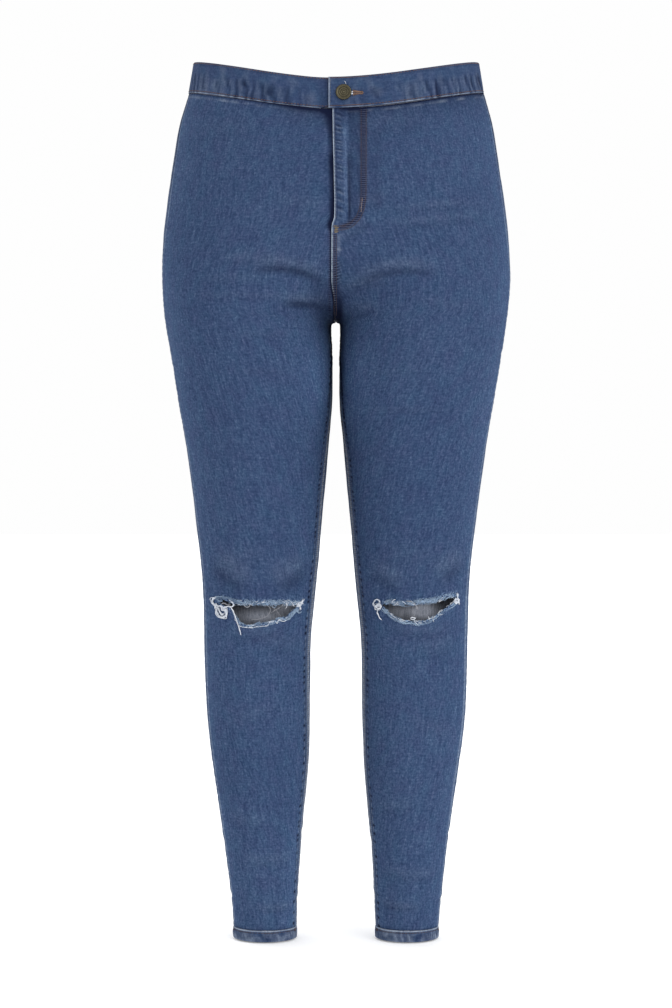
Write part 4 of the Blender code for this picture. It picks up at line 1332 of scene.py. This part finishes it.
def sewn(tree, line, length, gap, seed, reach):
    """(start, end, normal) of each stitch along a line: its points, close together, and their normals."""
    points, normals = laid(tree, *line, reach)
    walked = walked_along(points)
    rng = np.random.default_rng(seed)

    def at_distance(s, values):
        return np.array([np.interp(s, walked, column) for column in values.T])

    ends, at = [], gap
    while at + length < walked[-1]:
        this = length * rng.uniform(0.9, 1.08)
        start, end = at_distance(at, points), at_distance(at + this, points)
        normal = at_distance(at + this / 2, normals)
        ends.append((start, end, normal / np.linalg.norm(normal)))
        at += this + gap
    return ends


def raised(points, normals, lift, *_):
    """A line on cloth, from its form: the points moved out along their normals, and the normals."""
    return points + normals * lift[:, None], normals


def panel_line(panel, distance, drops):
    """Points and normals of the form along a back panel, at a distance from its inner edge."""
    share = np.full(len(drops), 0.5)
    for _ in range(3):
        _, width = arc_at(panel, share, drops)
        share = 1 - distance / width
    points, normals = placed(panel_turn(1, panel.back, share, drops, width), drops)
    return on_side(panel.side, points, normals)


def front_line(corners, count=60):
    """Points on the front of the form over a smooth line through (x, z) corners in millimetres, and the
    normals there."""
    corners = np.array(corners) * MM
    walked = walked_along(corners)
    x, z = (np.interp(np.linspace(0, walked[-1], count), walked, column) for column in corners.T)
    for value in (x, z):
        value[2:-2] = np.convolve(value, np.ones(5) / 5, "valid")
    points = on_front(x, z)
    return points, outward(points)


def stitch_between(tree, start, end, count, out):
    """One straight stitch between two (x, z) corners on the front, in millimetres. It stands out from the
    cloth a little."""
    points, normals = laid(tree, *front_line((start, end), count))
    return points[0] + normals[0] * out, points[-1] + normals[-1] * out, normals[count // 2]


# Two rows of stitches beside the fly, which turn in to its end, as (x, z) in millimetres.
FLY_ROWS = (
    ((27.4, -69), (27.3, -163), (25.9, -177), (22.4, -187), (16.4, -193.6), (8.5, -196.9), (0.5, -197.4)),
    ((32.9, -69), (32.7, -164), (30.6, -179), (26.2, -189.6), (18.8, -197.6), (9.5, -201.2), (0.5, -201.8)),
)
# The length of the stitches in each kind of row, and the gap between them.
SPACINGS = {
    "band": (0.0027, 0.0008), "band_end": (0.0025, 0.0009), "fly": (0.0015, 0.0005), "rise": (0.0013, 0.0008),
    "fold": (0.0026, 0.0009), "seat": (0.0027, 0.0008), "inseam": (0.0028, 0.0010), "hem": (0.0026, 0.0010),
}
STITCH_WIDTH, TACK_OUT = 0.0008, 0.0002


def build_stitches(tree, panels, looks):
    """Every row of stitches: waistband, fly, rise, seat, inseams, hems and bartacks."""
    rows = {name: [] for name in ("brown", "tonal", "gold", "pale", "umber", "grey")}

    def sew(thread, kind, seed, line, reach=0.012):
        rows[thread] += sewn(tree, line, *SPACINGS[kind], seed, reach)

    start, end = band_turn_range()
    turns = np.linspace(start + 0.012, end - 0.012, 700)
    for seed, drop in ((1, BAND_STITCH_TOP), (2, BAND_STITCH_LOW)):
        sew("brown", "band", seed, raised(*band_point(turns, np.full(len(turns), drop))))
    over_end = np.full(20, start + 0.0026 / HALF_GIRTH)
    sew("tonal", "band_end", 3, raised(*band_point(over_end, np.linspace(0.0030, 0.0300, 20))))
    for seed, corners in enumerate(FLY_ROWS):
        sew("umber", "fly", 4 + seed, front_line(corners, 120))
    for seed, x in enumerate((-2.2, 0.5)):
        sew("umber", "rise", 6 + seed, front_line(((x, -206), (x, -288))))
    sew("tonal", "fold", 8, front_line(((-2.4, -72), (-0.4, -190))))
    seat = np.linspace(0.036, 0.286, 200)
    for seed, distance in enumerate((0.0022, 0.0080)):
        sew("brown", "seat", 10 + seed, panel_line(panels["back_left"], distance, seat))
    leg, around = np.linspace(0.405, PANEL_END - 0.002, 450), np.linspace(0, 2 * math.pi, 240)
    for seed, (word, side) in enumerate((("left", 1), ("right", -1))):
        sew("grey", "inseam", 20 + seed, panel_line(panels[f"back_{word}"], 0.0066, leg), 0.003)
        sew("umber", "hem", 30 + seed, raised(*hem_point(side, around, np.full(240, HEM_TOP + HEM_STITCH))))
    rows["gold"] += bartack(tree, (-3.6, -196.8), (4.0, -204.6), 1.05, 2.4)
    rows["pale"] += bartack(tree, (26.2, -167.0), (28.0, -182.0), 1.3, 0.5, 0.10)
    rows["umber"] += hem_tacks(tree)
    for name, ends in rows.items():
        stitches(f"stitches_{name}", ends, looks[f"thread_{name}"], STITCH_WIDTH)


def bartack(tree, low_corner, high_corner, pitch, uneven, lean=0.0):
    """Close uneven stitches across a small patch of the front, in millimetres. The patch leans by lean."""
    (x0, z0), (x1, z1) = low_corner, high_corner
    rng = np.random.default_rng(19)
    ends = []
    for z in np.arange(z0, z1, -pitch * 1.1):
        aside = lean * (z - z1)
        left, right = x0 + aside + rng.uniform(0, uneven), x1 + aside - rng.uniform(0, uneven)
        ends.append(stitch_between(tree, (left, z), (right, z - 0.3 + rng.normal(0, 0.25)), 12, TACK_OUT))
    return ends


def hem_tacks(tree):
    """Where each hem's stitching starts and ends, over its seams."""
    ends = []
    for side in (-1, 1):
        for middle in HEM_SEAMS:
            for step in np.linspace(-0.05, 0.05, 7):
                form = hem_point(side, np.full(2, middle + step), HEM_TOP + np.array([0.0012, 0.0044]))
                points, normals = laid(tree, *raised(*form))
                ends.append((points[0], points[1], normals[0]))
    return ends


# ---- frayed threads over the knees

def front_points(x, z, out):
    """Points off the front of the form, from x, z and how far out, all in millimetres."""
    points = on_front(x * MM, z * MM)
    return points + outward(points) * MM * out[:, None]


def smoothed(corners, step=0.9):
    """A rounded line through corners, in millimetres, with points about step apart."""
    corners = np.array(corners, float)
    before, after = 2 * corners[0] - corners[1], 2 * corners[-1] - corners[-2]
    padded = np.vstack([before, corners, after])
    pieces = []
    for i in range(1, len(padded) - 2):
        p0, p1, p2, p3 = padded[i - 1 : i + 3]
        count = max(2, math.ceil(np.linalg.norm(p2 - p1) / step))
        t = np.linspace(0, 1, count, endpoint=i == len(padded) - 3)[:, None]
        pieces.append(0.5 * (2 * p1 + (p2 - p0) * t + (2 * p0 - 5 * p1 + 4 * p2 - p3) * t**2
                             + (3 * p1 - p0 - 3 * p2 + p3) * t**3))
    return np.vstack(pieces)


# Listed strands: their colour, copies, how far apart the copies lie, thickness, height off the cloth and
# corners (x, z). Millimetres.
Strand = namedtuple("Strand", "look copies spread radius out corners")
WHITE, BLUE, GREY = "fray_white", "fray_blue", "fray_grey"
STRANDS = [Strand(*row) for row in (
    # the wearer's right knee: the tangle at its outer corner
    (WHITE, 11, 1.1, 0.34, 1.3, ((-134, -604.5), (-137.5, -606.5), (-137, -610), (-134.5, -613.5),
     (-132.5, -617), (-132.5, -621), (-130, -625), (-126, -626), (-122.5, -624.5), (-121, -621),
     (-121.5, -617), (-124.5, -616))),
    (WHITE, 7, 0.8, 0.30, 1.6, ((-133.5, -611), (-131, -615), (-128.5, -619.5), (-126.5, -623.5),
     (-124, -622))),
    (BLUE, 6, 0.9, 0.32, 0.9, ((-137, -606), (-132, -604), (-126, -603.6), (-120, -604.8), (-113, -606.8),
     (-106, -607.8))),
    (WHITE, 5, 0.45, 0.34, 1.2, ((-116.5, -608.3), (-114, -609.8), (-113.4, -612.6), (-116, -614),
     (-120, -613.8), (-125, -614.8), (-128, -612.5))),
    (BLUE, 6, 0.9, 0.28, 1.2, ((-132, -607), (-128.5, -608.2), (-126, -607.6))),
    (GREY, 3, 0.5, 0.26, 0.8, ((-128, -611.5), (-124, -610.8), (-120, -612.4), (-117, -611))),
    (WHITE, 6, 0.8, 0.28, 1.4, ((-130, -613), (-127, -614.5), (-125.5, -618), (-123, -618.5),
     (-122, -621.5))),
    # the long thick thread that hangs from it
    (WHITE, 4, 0.22, 0.32, 1.5, ((-117, -614), (-113.5, -619), (-111, -626), (-109, -632), (-107, -638),
     (-106, -642), (-105, -645.5))),
    # its lower lip: two pale cords, then a plait, then a soft edge
    (BLUE, 5, 0.6, 0.32, 0.8, ((-111, -626), (-108, -630.5), (-104, -633.3), (-98, -634.6), (-92, -634.4),
     (-87, -632.4), (-84, -631))),
    (WHITE, 2, 0.35, 0.24, 1.2, ((-110, -632), (-107, -635.5), (-102, -637), (-96, -637.2), (-90, -636.5),
     (-83, -635.8), (-77, -635.2), (-75, -633.2), (-74, -630))),
    (BLUE, 6, 0.9, 0.28, 0.8, ((-98, -637), (-92, -635.6), (-86, -633.8), (-80, -633), (-75.5, -631.5))),
    (WHITE, 2, 0.4, 0.24, 1.0, ((-76, -631.2), (-70, -630.2), (-68, -629.4), (-66, -632.4), (-64, -629),
     (-60, -630), (-56, -629.4), (-52.5, -627.2))),
    (BLUE, 4, 0.6, 0.30, 0.8, ((-67, -628.2), (-62, -626.6), (-57, -628), (-53, -625.6))),
    (BLUE, 8, 1.1, 0.32, 0.8, ((-54, -627.6), (-50, -623), (-47, -619), (-43.5, -616))),
    # the knot at its inner corner
    (WHITE, 8, 0.75, 0.32, 1.3, ((-44.5, -612.5), (-42, -613.8), (-39.5, -611), (-37.2, -607))),
    (WHITE, 7, 0.7, 0.32, 1.3, ((-44.2, -611), (-41.5, -614.5), (-40.8, -618.3))),
    (WHITE, 3, 0.5, 0.30, 1.3, ((-37.6, -611.8), (-41, -610.2), (-43.8, -613.6), (-40.5, -615))),
    (BLUE, 4, 0.7, 0.30, 0.9, ((-45, -617.5), (-42.5, -621.5), (-39.3, -620.5))),
    # loose threads across its opening
    (WHITE, 2, 0.18, 0.26, 0.7, ((-102.3, -610), (-101.6, -613), (-99.5, -614.3), (-97, -614.1),
     (-95.4, -612.3), (-96, -609.8))),
    (GREY, 2, 0.15, 0.20, 0.2, ((-80, -612.6), (-75.5, -613.4), (-73.2, -616), (-73, -619), (-75, -622.5),
     (-78.5, -625.5), (-83, -627.2), (-88, -628.2), (-94, -628))),
    (GREY, 2, 0.15, 0.20, 0.2, ((-58, -610.5), (-61, -613.8), (-65, -616.3), (-69, -618.6), (-72.5, -621))),
    (GREY, 1, 0.10, 0.18, 0.0, ((-74, -611.5), (-69, -616), (-65, -620), (-61.5, -625))),
    (BLUE, 2, 0.20, 0.24, 0.6, ((-71.5, -609.8), (-70.8, -613.5), (-68.6, -615.2), (-66.8, -612.6),
     (-68, -609.6))),
    (WHITE, 2, 0.18, 0.24, 0.6, ((-59, -608.8), (-56, -610.2), (-54.9, -613), (-56.5, -616.5))),
    # the wearer's left knee: the knot and its tail at the inner corner
    (WHITE, 6, 0.50, 0.32, 1.3, ((49.6, -609.4), (48.6, -607), (46.5, -606.2), (44.2, -608), (43, -611),
     (44.8, -613.8), (48, -614))),
    (WHITE, 9, 0.80, 0.32, 1.4, ((46, -611.5), (49.5, -611.6), (51.5, -613.6), (49.8, -616.4), (46.6, -616),
     (45.6, -613.5), (48.6, -612.8), (50, -615))),
    (WHITE, 3, 0.40, 0.30, 1.3, ((46.5, -613), (44, -615.8), (45.4, -618.2), (48.4, -617.2))),
    (WHITE, 4, 0.32, 0.32, 1.2, ((47.8, -616.5), (46.8, -620.5), (47.8, -624), (49.5, -626.8), (51.3, -629))),
    # its lower lip
    (BLUE, 6, 0.8, 0.32, 0.8, ((51.5, -615.5), (57, -620.5), (62, -625.8), (66, -628.6), (71, -630.8),
     (77, -632.4), (82, -632), (86, -633), (90, -634.4), (95, -633.2))),
    (BLUE, 6, 0.8, 0.32, 0.8, ((92, -633.8), (100, -632.3), (104, -630.5), (108, -628), (112, -625.2),
     (117, -621.3), (121, -618.8), (125, -616.5), (130, -614), (135, -610.5))),
    (WHITE, 2, 0.4, 0.24, 1.0, ((60, -620.5), (65, -625.2), (70, -627.6), (75, -629.6), (80, -628.6),
     (83, -629))),
    (WHITE, 2, 0.4, 0.24, 1.0, ((88, -629.2), (92, -631.2), (97, -630.6), (100, -629.2), (103, -627.4),
     (107, -626), (111, -624), (115, -619.5), (118, -617))),
    (WHITE, 5, 0.5, 0.30, 1.3, ((82.4, -626.4), (85, -625.6), (87.6, -626.8), (85, -628), (82.8, -627.2))),
    (WHITE, 2, 0.3, 0.26, 1.2, ((86.8, -627.3), (87.8, -630.5), (91.5, -634.4))),
    (WHITE, 2, 0.3, 0.26, 1.1, ((102.6, -624.6), (103.4, -628), (105.4, -629.6))),
    (WHITE, 3, 0.3, 0.26, 1.2, ((106.6, -626.6), (107.4, -628.6), (107.8, -630.6))),
    # the tuft at its outer corner
    (WHITE, 6, 0.5, 0.30, 1.2, ((134.2, -599.6), (134.7, -604), (136, -608.5), (136.8, -612.4))),
    (WHITE, 11, 1.0, 0.32, 1.4, ((131, -607.6), (133, -606), (135.4, -607.4), (134.4, -610), (131.8, -609.6),
     (132, -607.8))),
    # loose threads of its upper lip
    (WHITE, 3, 0.3, 0.26, 1.0, ((66.4, -605.8), (64.2, -606.8), (62.4, -609.6))),
    (GREY, 3, 0.4, 0.26, 0.8, ((78, -607.4), (84, -608.3), (87.5, -611), (89.8, -614.4), (90.4, -617.4))),
    (WHITE, 2, 0.3, 0.24, 1.0, ((118, -607), (115.6, -607.8), (113.4, -609))),
    (GREY, 1, 0.1, 0.16, -0.4, ((86, -613), (85, -618), (87, -623), (86, -627))),
    # the speck of thread above the button
    (WHITE, 3, 0.3, 0.24, 2.9, ((9.4, -38.8), (10.4, -40.2), (11.0, -42.0))),
)]
# Where frayed weft lies along the lips: the leg, how many threads, how high they spread, and the line.
Lip = namedtuple("Lip", "look count spread corners")
FRAYED_LIPS = [Lip(*row) for row in (
    (BLUE, 300, 1.7, ((-119, -607.5), (-112, -609), (-104, -609.6), (-90, -609.4), (-75, -609.6),
     (-60, -609.8), (-46, -610.2), (-40, -611))),
    (WHITE, 26, 1.5, ((-119, -608), (-104, -609.6), (-90, -609.2), (-75, -610), (-60, -609.8), (-40, -611))),
    (BLUE, 170, 1.1, ((-112, -624), (-107, -632), (-98, -636), (-85, -634.6), (-75, -632.4), (-62, -628.6),
     (-54, -627), (-48, -620.5), (-43, -616.5))),
    (WHITE, 30, 0.9, ((-112, -626), (-107, -633), (-98, -636), (-85, -634), (-75, -632), (-62, -628.4),
     (-52, -625))),
    (BLUE, 290, 1.7, ((53, -609.2), (62, -608.8), (72, -610.2), (84, -610), (95, -608.4), (105, -607.4),
     (114, -605.6), (124, -603.4), (134, -602))),
    (WHITE, 24, 1.4, ((53, -609.4), (72, -610), (86, -609.6), (104, -607.4), (118, -605), (134, -602.4))),
    (BLUE, 200, 1.2, ((52, -615.6), (58, -621), (66, -627.6), (78, -631), (90, -632), (100, -630.8),
     (110, -626), (118, -620.4), (127, -615), (134, -609))),
    (WHITE, 30, 1.2, ((54, -617.6), (66, -627.4), (78, -631), (90, -632.2), (102, -630), (112, -624.6),
     (122, -617.6), (134, -608.6))),
)]


def tapered(count, radius):
    ends = np.minimum(np.arange(count), np.arange(count)[::-1]) + 1
    return radius * MM * np.minimum(1, ends / 2.5)


def wavy(rng, t, slowest, fastest):
    return np.sin(2 * math.pi * t * rng.uniform(slowest, fastest) + rng.uniform(0, 6))


def frayed_threads(looks):
    """The strands, each of several threads that wander apart, and short bent threads along the lips."""
    rng = np.random.default_rng(41)
    lines = {WHITE: [], BLUE: [], GREY: []}
    for strand in STRANDS:
        for _ in range(strand.copies):
            corners = np.array(strand.corners) + rng.normal(0, strand.spread * 0.6, (len(strand.corners), 2))
            path = smoothed(corners + rng.normal(0, strand.spread * 0.5, 2))
            out = strand.out + rng.normal(0, 0.25)
            out = out + 0.35 * np.sin(np.arange(len(path)) * 0.9 + rng.uniform(0, 6))
            points = front_points(path[:, 0], path[:, 1], out)
            lines[strand.look].append((points, tapered(len(path), strand.radius * rng.uniform(0.7, 1.15))))
    t = np.linspace(0, 1, 9)
    for edge in FRAYED_LIPS:
        path = smoothed(edge.corners, 0.5)
        walked = walked_along(path)
        along = np.gradient(path, axis=0)
        across = along[:, ::-1] * (-1, 1) / np.linalg.norm(along, axis=1, keepdims=True)
        for _ in range(edge.count):
            length, start = rng.uniform(2.5, 9), rng.uniform(-1, walked[-1] - 2)
            lean = rng.normal(0, 0.55)
            s = start + length * t + rng.normal(0, 0.7) * wavy(rng, t, 0.6, 1.4)
            off = rng.normal(0, edge.spread * 0.62) + lean * length * (t - 0.5)
            off = off + rng.uniform(0.3, 1.0) * wavy(rng, t, 0.6, 1.5)
            off = np.clip(off, -2.1 * edge.spread, 2.1 * edge.spread)
            x, z = (
                np.interp(s, walked, place) + off * np.interp(s, walked, aside)
                for place, aside in zip(path.T, across.T)
            )
            out = rng.uniform(0.1, 1.1) + 0.4 * np.sin(5 * t + rng.uniform(0, 6))
            lines[edge.look].append((front_points(x, z, out), tapered(9, rng.uniform(0.15, 0.31))))
    for key, group in lines.items():
        tubes(f"threads_{key}", group, looks[key])


# ---- button, buttonhole and zip

BUTTON_STEPS = 96


def turned(name, profile, look):
    """A closed lathe shape about +z from (radius, height, wear) rows in millimetres, first and last on the
    axis."""
    rows = np.array(profile, float)
    wear, steps, count = rows[:, 2], BUTTON_STEPS, len(rows) - 2
    angles = np.arange(steps) * 2 * math.pi / steps
    radius, level = rows[1:-1, 0, None] * MM, np.repeat(rows[1:-1, 1, None] * MM, steps, axis=1)
    sides = np.stack([radius * np.cos(angles), radius * np.sin(angles), level], axis=-1)
    poles = [[[0, 0, rows[k, 1] * MM]] for k in (0, -1)]
    verts = np.concatenate([poles[0], sides.reshape(-1, 3), poles[1]])
    here, following = np.arange(steps), (np.arange(steps) + 1) % steps
    triangles = [np.stack([np.zeros(steps, int), 1 + here, 1 + following], axis=1)]
    for i in range(count - 1):
        a, b = 1 + i * steps + here, 1 + i * steps + following
        triangles += [np.stack([a, a + steps, b + steps], axis=1), np.stack([a, b + steps, b], axis=1)]
    last = 1 + (count - 1) * steps
    triangles.append(np.stack([np.full(steps, len(verts) - 1), last + following, last + here], axis=1))
    values = np.concatenate([wear[:1], np.repeat(wear[1:-1], steps), wear[-1:]])
    piece = joined(name, verts, np.concatenate(triangles), look, {"wear": values})
    piece.data.set_sharp_from_angle(angle=math.radians(50))
    return piece


def button_frame():
    """The button's matrix: its origin on the waistband's outer face, its z axis out of it."""
    turn = np.array([x_to_turn(BUTTON_X - FRONT_SEAM_X, BUTTON_DROP)])
    points, normals = placed(turn, np.array([BUTTON_DROP]))
    point = front_seam_shift(points) + normals * (PROUD + band_lap(turn))[:, None]
    out = Vector(normals[0]).normalized()
    right = Vector((0, 0, 1)).cross(out).normalized()
    return Matrix.Translation(Vector(point[0])) @ Matrix((right, out.cross(right), out)).transposed().to_4x4()


# Radius, height over its seat, and how bright it is rubbed. The cap's face has three rings about a boss.
BUTTON_FACE = (
    (0, 2.75, 0.95), (0.55, 2.72, 0.95), (0.95, 2.45, 0.35), (1.25, 2.30, 0.15), (1.70, 2.30, 0.30),
    (2.30, 2.48, 0.55), (2.75, 2.50, 0.50), (3.15, 2.36, 0.15), (3.50, 2.30, 0.10), (3.90, 2.38, 0.35),
    (4.40, 2.52, 0.55), (4.90, 2.52, 0.45), (5.25, 2.38, 0.12), (5.60, 2.32, 0.10), (6.10, 2.40, 0.35),
    (6.70, 2.62, 0.45), (7.20, 2.80, 0.45), (7.70, 2.86, 0.52), (8.10, 2.80, 0.45), (8.45, 2.55, 0.30),
    (8.68, 2.15, 0.35), (8.76, 1.60, 0.20), (8.72, 1.00, 0.12), (8.50, 0.60, 0.05), (7.90, 0.34, 0.05),
    (1.90, 0.34, 0.05),
)
BUTTON_TACK = (
    (1.90, -5.80, 0.05), (4.50, -5.80, 0.10), (4.50, -6.40, 0.25), (3.60, -6.80, 0.40), (0, -6.80, 0.40),
)


def build_button(brass):
    piece = turned("button_cap", BUTTON_FACE + BUTTON_TACK, brass)
    piece.matrix_world = button_frame()
    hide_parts("button")


# Millimetres. The slot runs from start to end at z, and is pulled as far as pulled.
SLOT_START, SLOT_PULLED, SLOT_END, SLOT_Z, SLOT_PITCH = 10.0, 18.4, 28.6, -51.8, 0.46
SLOT_THREAD, SLOT_OUT = 0.00062, 0.0003


def buttonhole(tree, tan, white):
    """Close stitches round a slot that runs from the shank to the wearer's left, wide and pale where it is
    pulled, and dark within."""
    rng = np.random.default_rng(17)
    rows = {"buttonhole_thread": [], "buttonhole_pulled": []}
    for x in np.arange(SLOT_START, SLOT_END + 0.4, SLOT_PITCH):
        pulled = x < SLOT_PULLED
        half = 1.6 if pulled else 3.6 - 1.8 * smooth_step(15, 27, x)
        for way in (-1, 1):
            start = (x, SLOT_Z + way * 0.2 * rng.random())
            z = SLOT_Z + way * (half + 0.3 * rng.random())
            stitch = stitch_between(tree, start, (x + rng.normal(0, 0.18), z), 8, SLOT_OUT)
            rows["buttonhole_pulled" if pulled else "buttonhole_thread"].append(stitch)
    for angle in np.linspace(-0.5 * math.pi, 0.5 * math.pi, 9):
        across, up = math.cos(angle), math.sin(angle)
        start, end = ((SLOT_END + a * across, SLOT_Z + b * up) for a, b in ((0.3, 0.4), (1.5, 1.6)))
        rows["buttonhole_thread"].append(stitch_between(tree, start, end, 8, SLOT_OUT))
    for name, look in (("buttonhole_thread", tan), ("buttonhole_pulled", white)):
        stitches(name, rows[name], look, SLOT_THREAD, 1.0)


ZIP_LEFT, ZIP_RIGHT, ZIP_MIDDLE = 0.028, -0.014, 0.007
ZIP_CLEAR, ZIP_TAPE, TOOTH_PITCH = 0.0009, 0.0006, 0.00115
ZIP_TOP, ZIP_END, TEETH_TOP, TEETH_END = 0.034, 0.176, 0.044, 0.170


def zip_point(x, drop):
    """Points on the zip's outer face, and normals, at distances to the wearer's left of the middle: behind
    the right front's edge, then out behind the left front."""
    turns = np.array([math.copysign(x_to_turn(abs(v), LAP_DROP), v) for v in x])
    points, normals = placed(turns, drop)
    step = 2 * smooth_step(0.010, 0.018, x) - 1
    back = step * HALF_LAP * fly_share(points, drop) - DENIM - ZIP_CLEAR
    return front_seam_shift(points) + normals * back[:, None], normals


def zip_part(xs, drops, depth):
    """(start, end, normal) of a part of the zip that lies between two points, behind the tape's face."""
    points, normals = zip_point(ZIP_MIDDLE + np.array(xs), np.array(drops))
    start, end = points - normals * np.broadcast_to(depth, 2)[:, None]
    return start, end, -normals[0]


def build_zip(woven, brass):
    """The closed zip behind the fly: ribbed tape, two rows of teeth and a slider at the top."""
    xs, drops = np.linspace(ZIP_RIGHT, ZIP_LEFT, 15), np.linspace(ZIP_TOP, ZIP_END, 48)
    bm, at = unit_grid(len(xs), len(drops))
    points, normals = zip_point(at_index(at[:, 0], xs), at_index(at[:, 1], drops))
    inner = points - normals * ZIP_TAPE
    tape = shell("zip_tape_cloth", bm, at, points, inner, {"wear": np.zeros(len(points))}, (woven, woven))
    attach(tape, "root")
    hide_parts("fly_zip")
    teeth = []
    for index, drop in enumerate(np.arange(TEETH_TOP, TEETH_END, TOOTH_PITCH)):
        way = 1 if index % 2 else -1
        teeth.append(zip_part((-0.0004 * way, 0.0021 * way), (drop, drop), 0.0012))
    slider = [zip_part((offset, offset), (0.037, 0.0455), 0.0016) for offset in (-0.0016, 0.0016)]
    pull = [zip_part((0, 0), (0.0405, 0.0560), (0.0030, 0.0028))]
    parts = {
        "zip_teeth": (teeth, 0.0010, 1.0), "zip_slider": (slider, 0.0040, 0.55),
        "zip_pull": (pull, 0.0036, 0.30),
    }
    for name, (ends, width, height) in parts.items():
        piece = stitches(name, ends, brass, width, height)
        set_attributes(piece.data, {"wear": np.full(len(piece.data.vertices), 0.4)})


# ---- camera, light and floor

FLOOR_CLEAR = 0.0012
# Where each light comes from, how strong it is, and how wide, in degrees.
LIGHTS = {"key": ((1.0, -1.25, 0.75), 1.15, 50), "rear": ((-0.6, 1.4, 1.2), 0.80, 70)}
CAMERA_AWAY, CAMERA_Z, CAMERA_LENS, SENSOR_WIDTH = 3.06, -0.5, 96.21, 36
WORLD_STRENGTH, FLOOR_SIZE = 0.99, 40


def studio():
    scene = bpy.context.scene
    bm = bmesh.new()
    bmesh.ops.create_grid(bm, x_segments=1, y_segments=1, size=FLOOR_SIZE)
    bmesh.ops.translate(bm, verts=bm.verts, vec=(0, 0, CAD_BOX[0].z - FLOOR_CLEAR))
    floor_mesh = bpy.data.meshes.new("floor")
    bm.to_mesh(floor_mesh)
    bm.free()
    floor_mesh.materials.append(floor_look())
    add_object("floor", floor_mesh)
    scene.world = bpy.data.worlds.new("studio")
    scene.world.use_nodes = True
    background = scene.world.node_tree.nodes["Background"].inputs
    background["Color"].default_value = (1.0, 1.0, 1.0, 1)
    background["Strength"].default_value = WORLD_STRENGTH
    for name, (place, strength, width) in LIGHTS.items():
        data = bpy.data.lights.new(name, "SUN")
        data.energy = strength
        data.angle = math.radians(width)
        lamp = add_object(name, data)
        lamp.location = place
        lamp.rotation_euler = (-Vector(place)).to_track_quat("-Z", "Y").to_euler()


def camera():
    """Level with the middle of the garment, straight in front."""
    data = bpy.data.cameras.new("camera")
    data.lens, data.sensor_width = CAMERA_LENS, SENSOR_WIDTH
    made = add_object("camera", data)
    made.location = (0, -CAMERA_AWAY, CAMERA_Z)
    made.rotation_euler = (math.pi / 2, 0, 0)
    scene = bpy.context.scene
    scene.camera = made
    scene.view_settings.view_transform = "Standard"
    scene.view_settings.look = "None"


# ---- the garment

# Each thread's pale colour, dark colour and how fine its twist is.
THREAD_LOOKS = {
    "thread_brown": ((0.140, 0.080, 0.066), (0.052, 0.036, 0.042), 900),
    "thread_grey": ((0.205, 0.190, 0.195), (0.095, 0.085, 0.090), 900),
    "thread_umber": ((0.076, 0.052, 0.054), (0.034, 0.027, 0.035), 900),
    "thread_tonal": ((0.115, 0.130, 0.170), (0.040, 0.052, 0.085), 900),
    "thread_gold": ((0.36, 0.290, 0.170), (0.050, 0.036, 0.028), 1400),
    "thread_tan": ((0.208, 0.130, 0.092), (0.062, 0.034, 0.026), 900),
    "thread_pale": ((0.400, 0.340, 0.330), (0.080, 0.050, 0.050), 1300),
    WHITE: ((0.78, 0.80, 0.84), (0.50, 0.55, 0.64), 900),
    BLUE: ((0.330, 0.440, 0.580), (0.062, 0.105, 0.190), 900),
    GREY: ((0.36, 0.36, 0.38), (0.22, 0.23, 0.26), 900),
}


def main():
    studio()
    camera()
    denim = denim_look(), reverse_look()
    threads = {name: thread_look(name, *colours) for name, colours in THREAD_LOOKS.items()}
    panels = {
        f"{word}_{hand}": make_panel(f"{word}_{hand}", side, int(word == "back"))
        for word in ("front", "back")
        for hand, side in (("left", 1), ("right", -1))
    }
    cloth = []
    for panel in panels.values():
        piece = cloth_panel(panel, denim)
        size, area = sheet_size(panel)
        cloth.append(piece)
    band = waistband(denim)
    start, end = band_turn_range()
    cloth.append(band)
    for side in (1, -1):
        piece = hem(side, denim)
        cloth.append(piece)
    tree = tree_of(cloth)
    build_stitches(tree, panels, threads)
    frayed_threads(threads)
    brass = brass_look()
    build_button(brass)
    buttonhole(tree, threads["thread_tan"], threads[WHITE])
    build_zip(tape_look(), brass)


main()
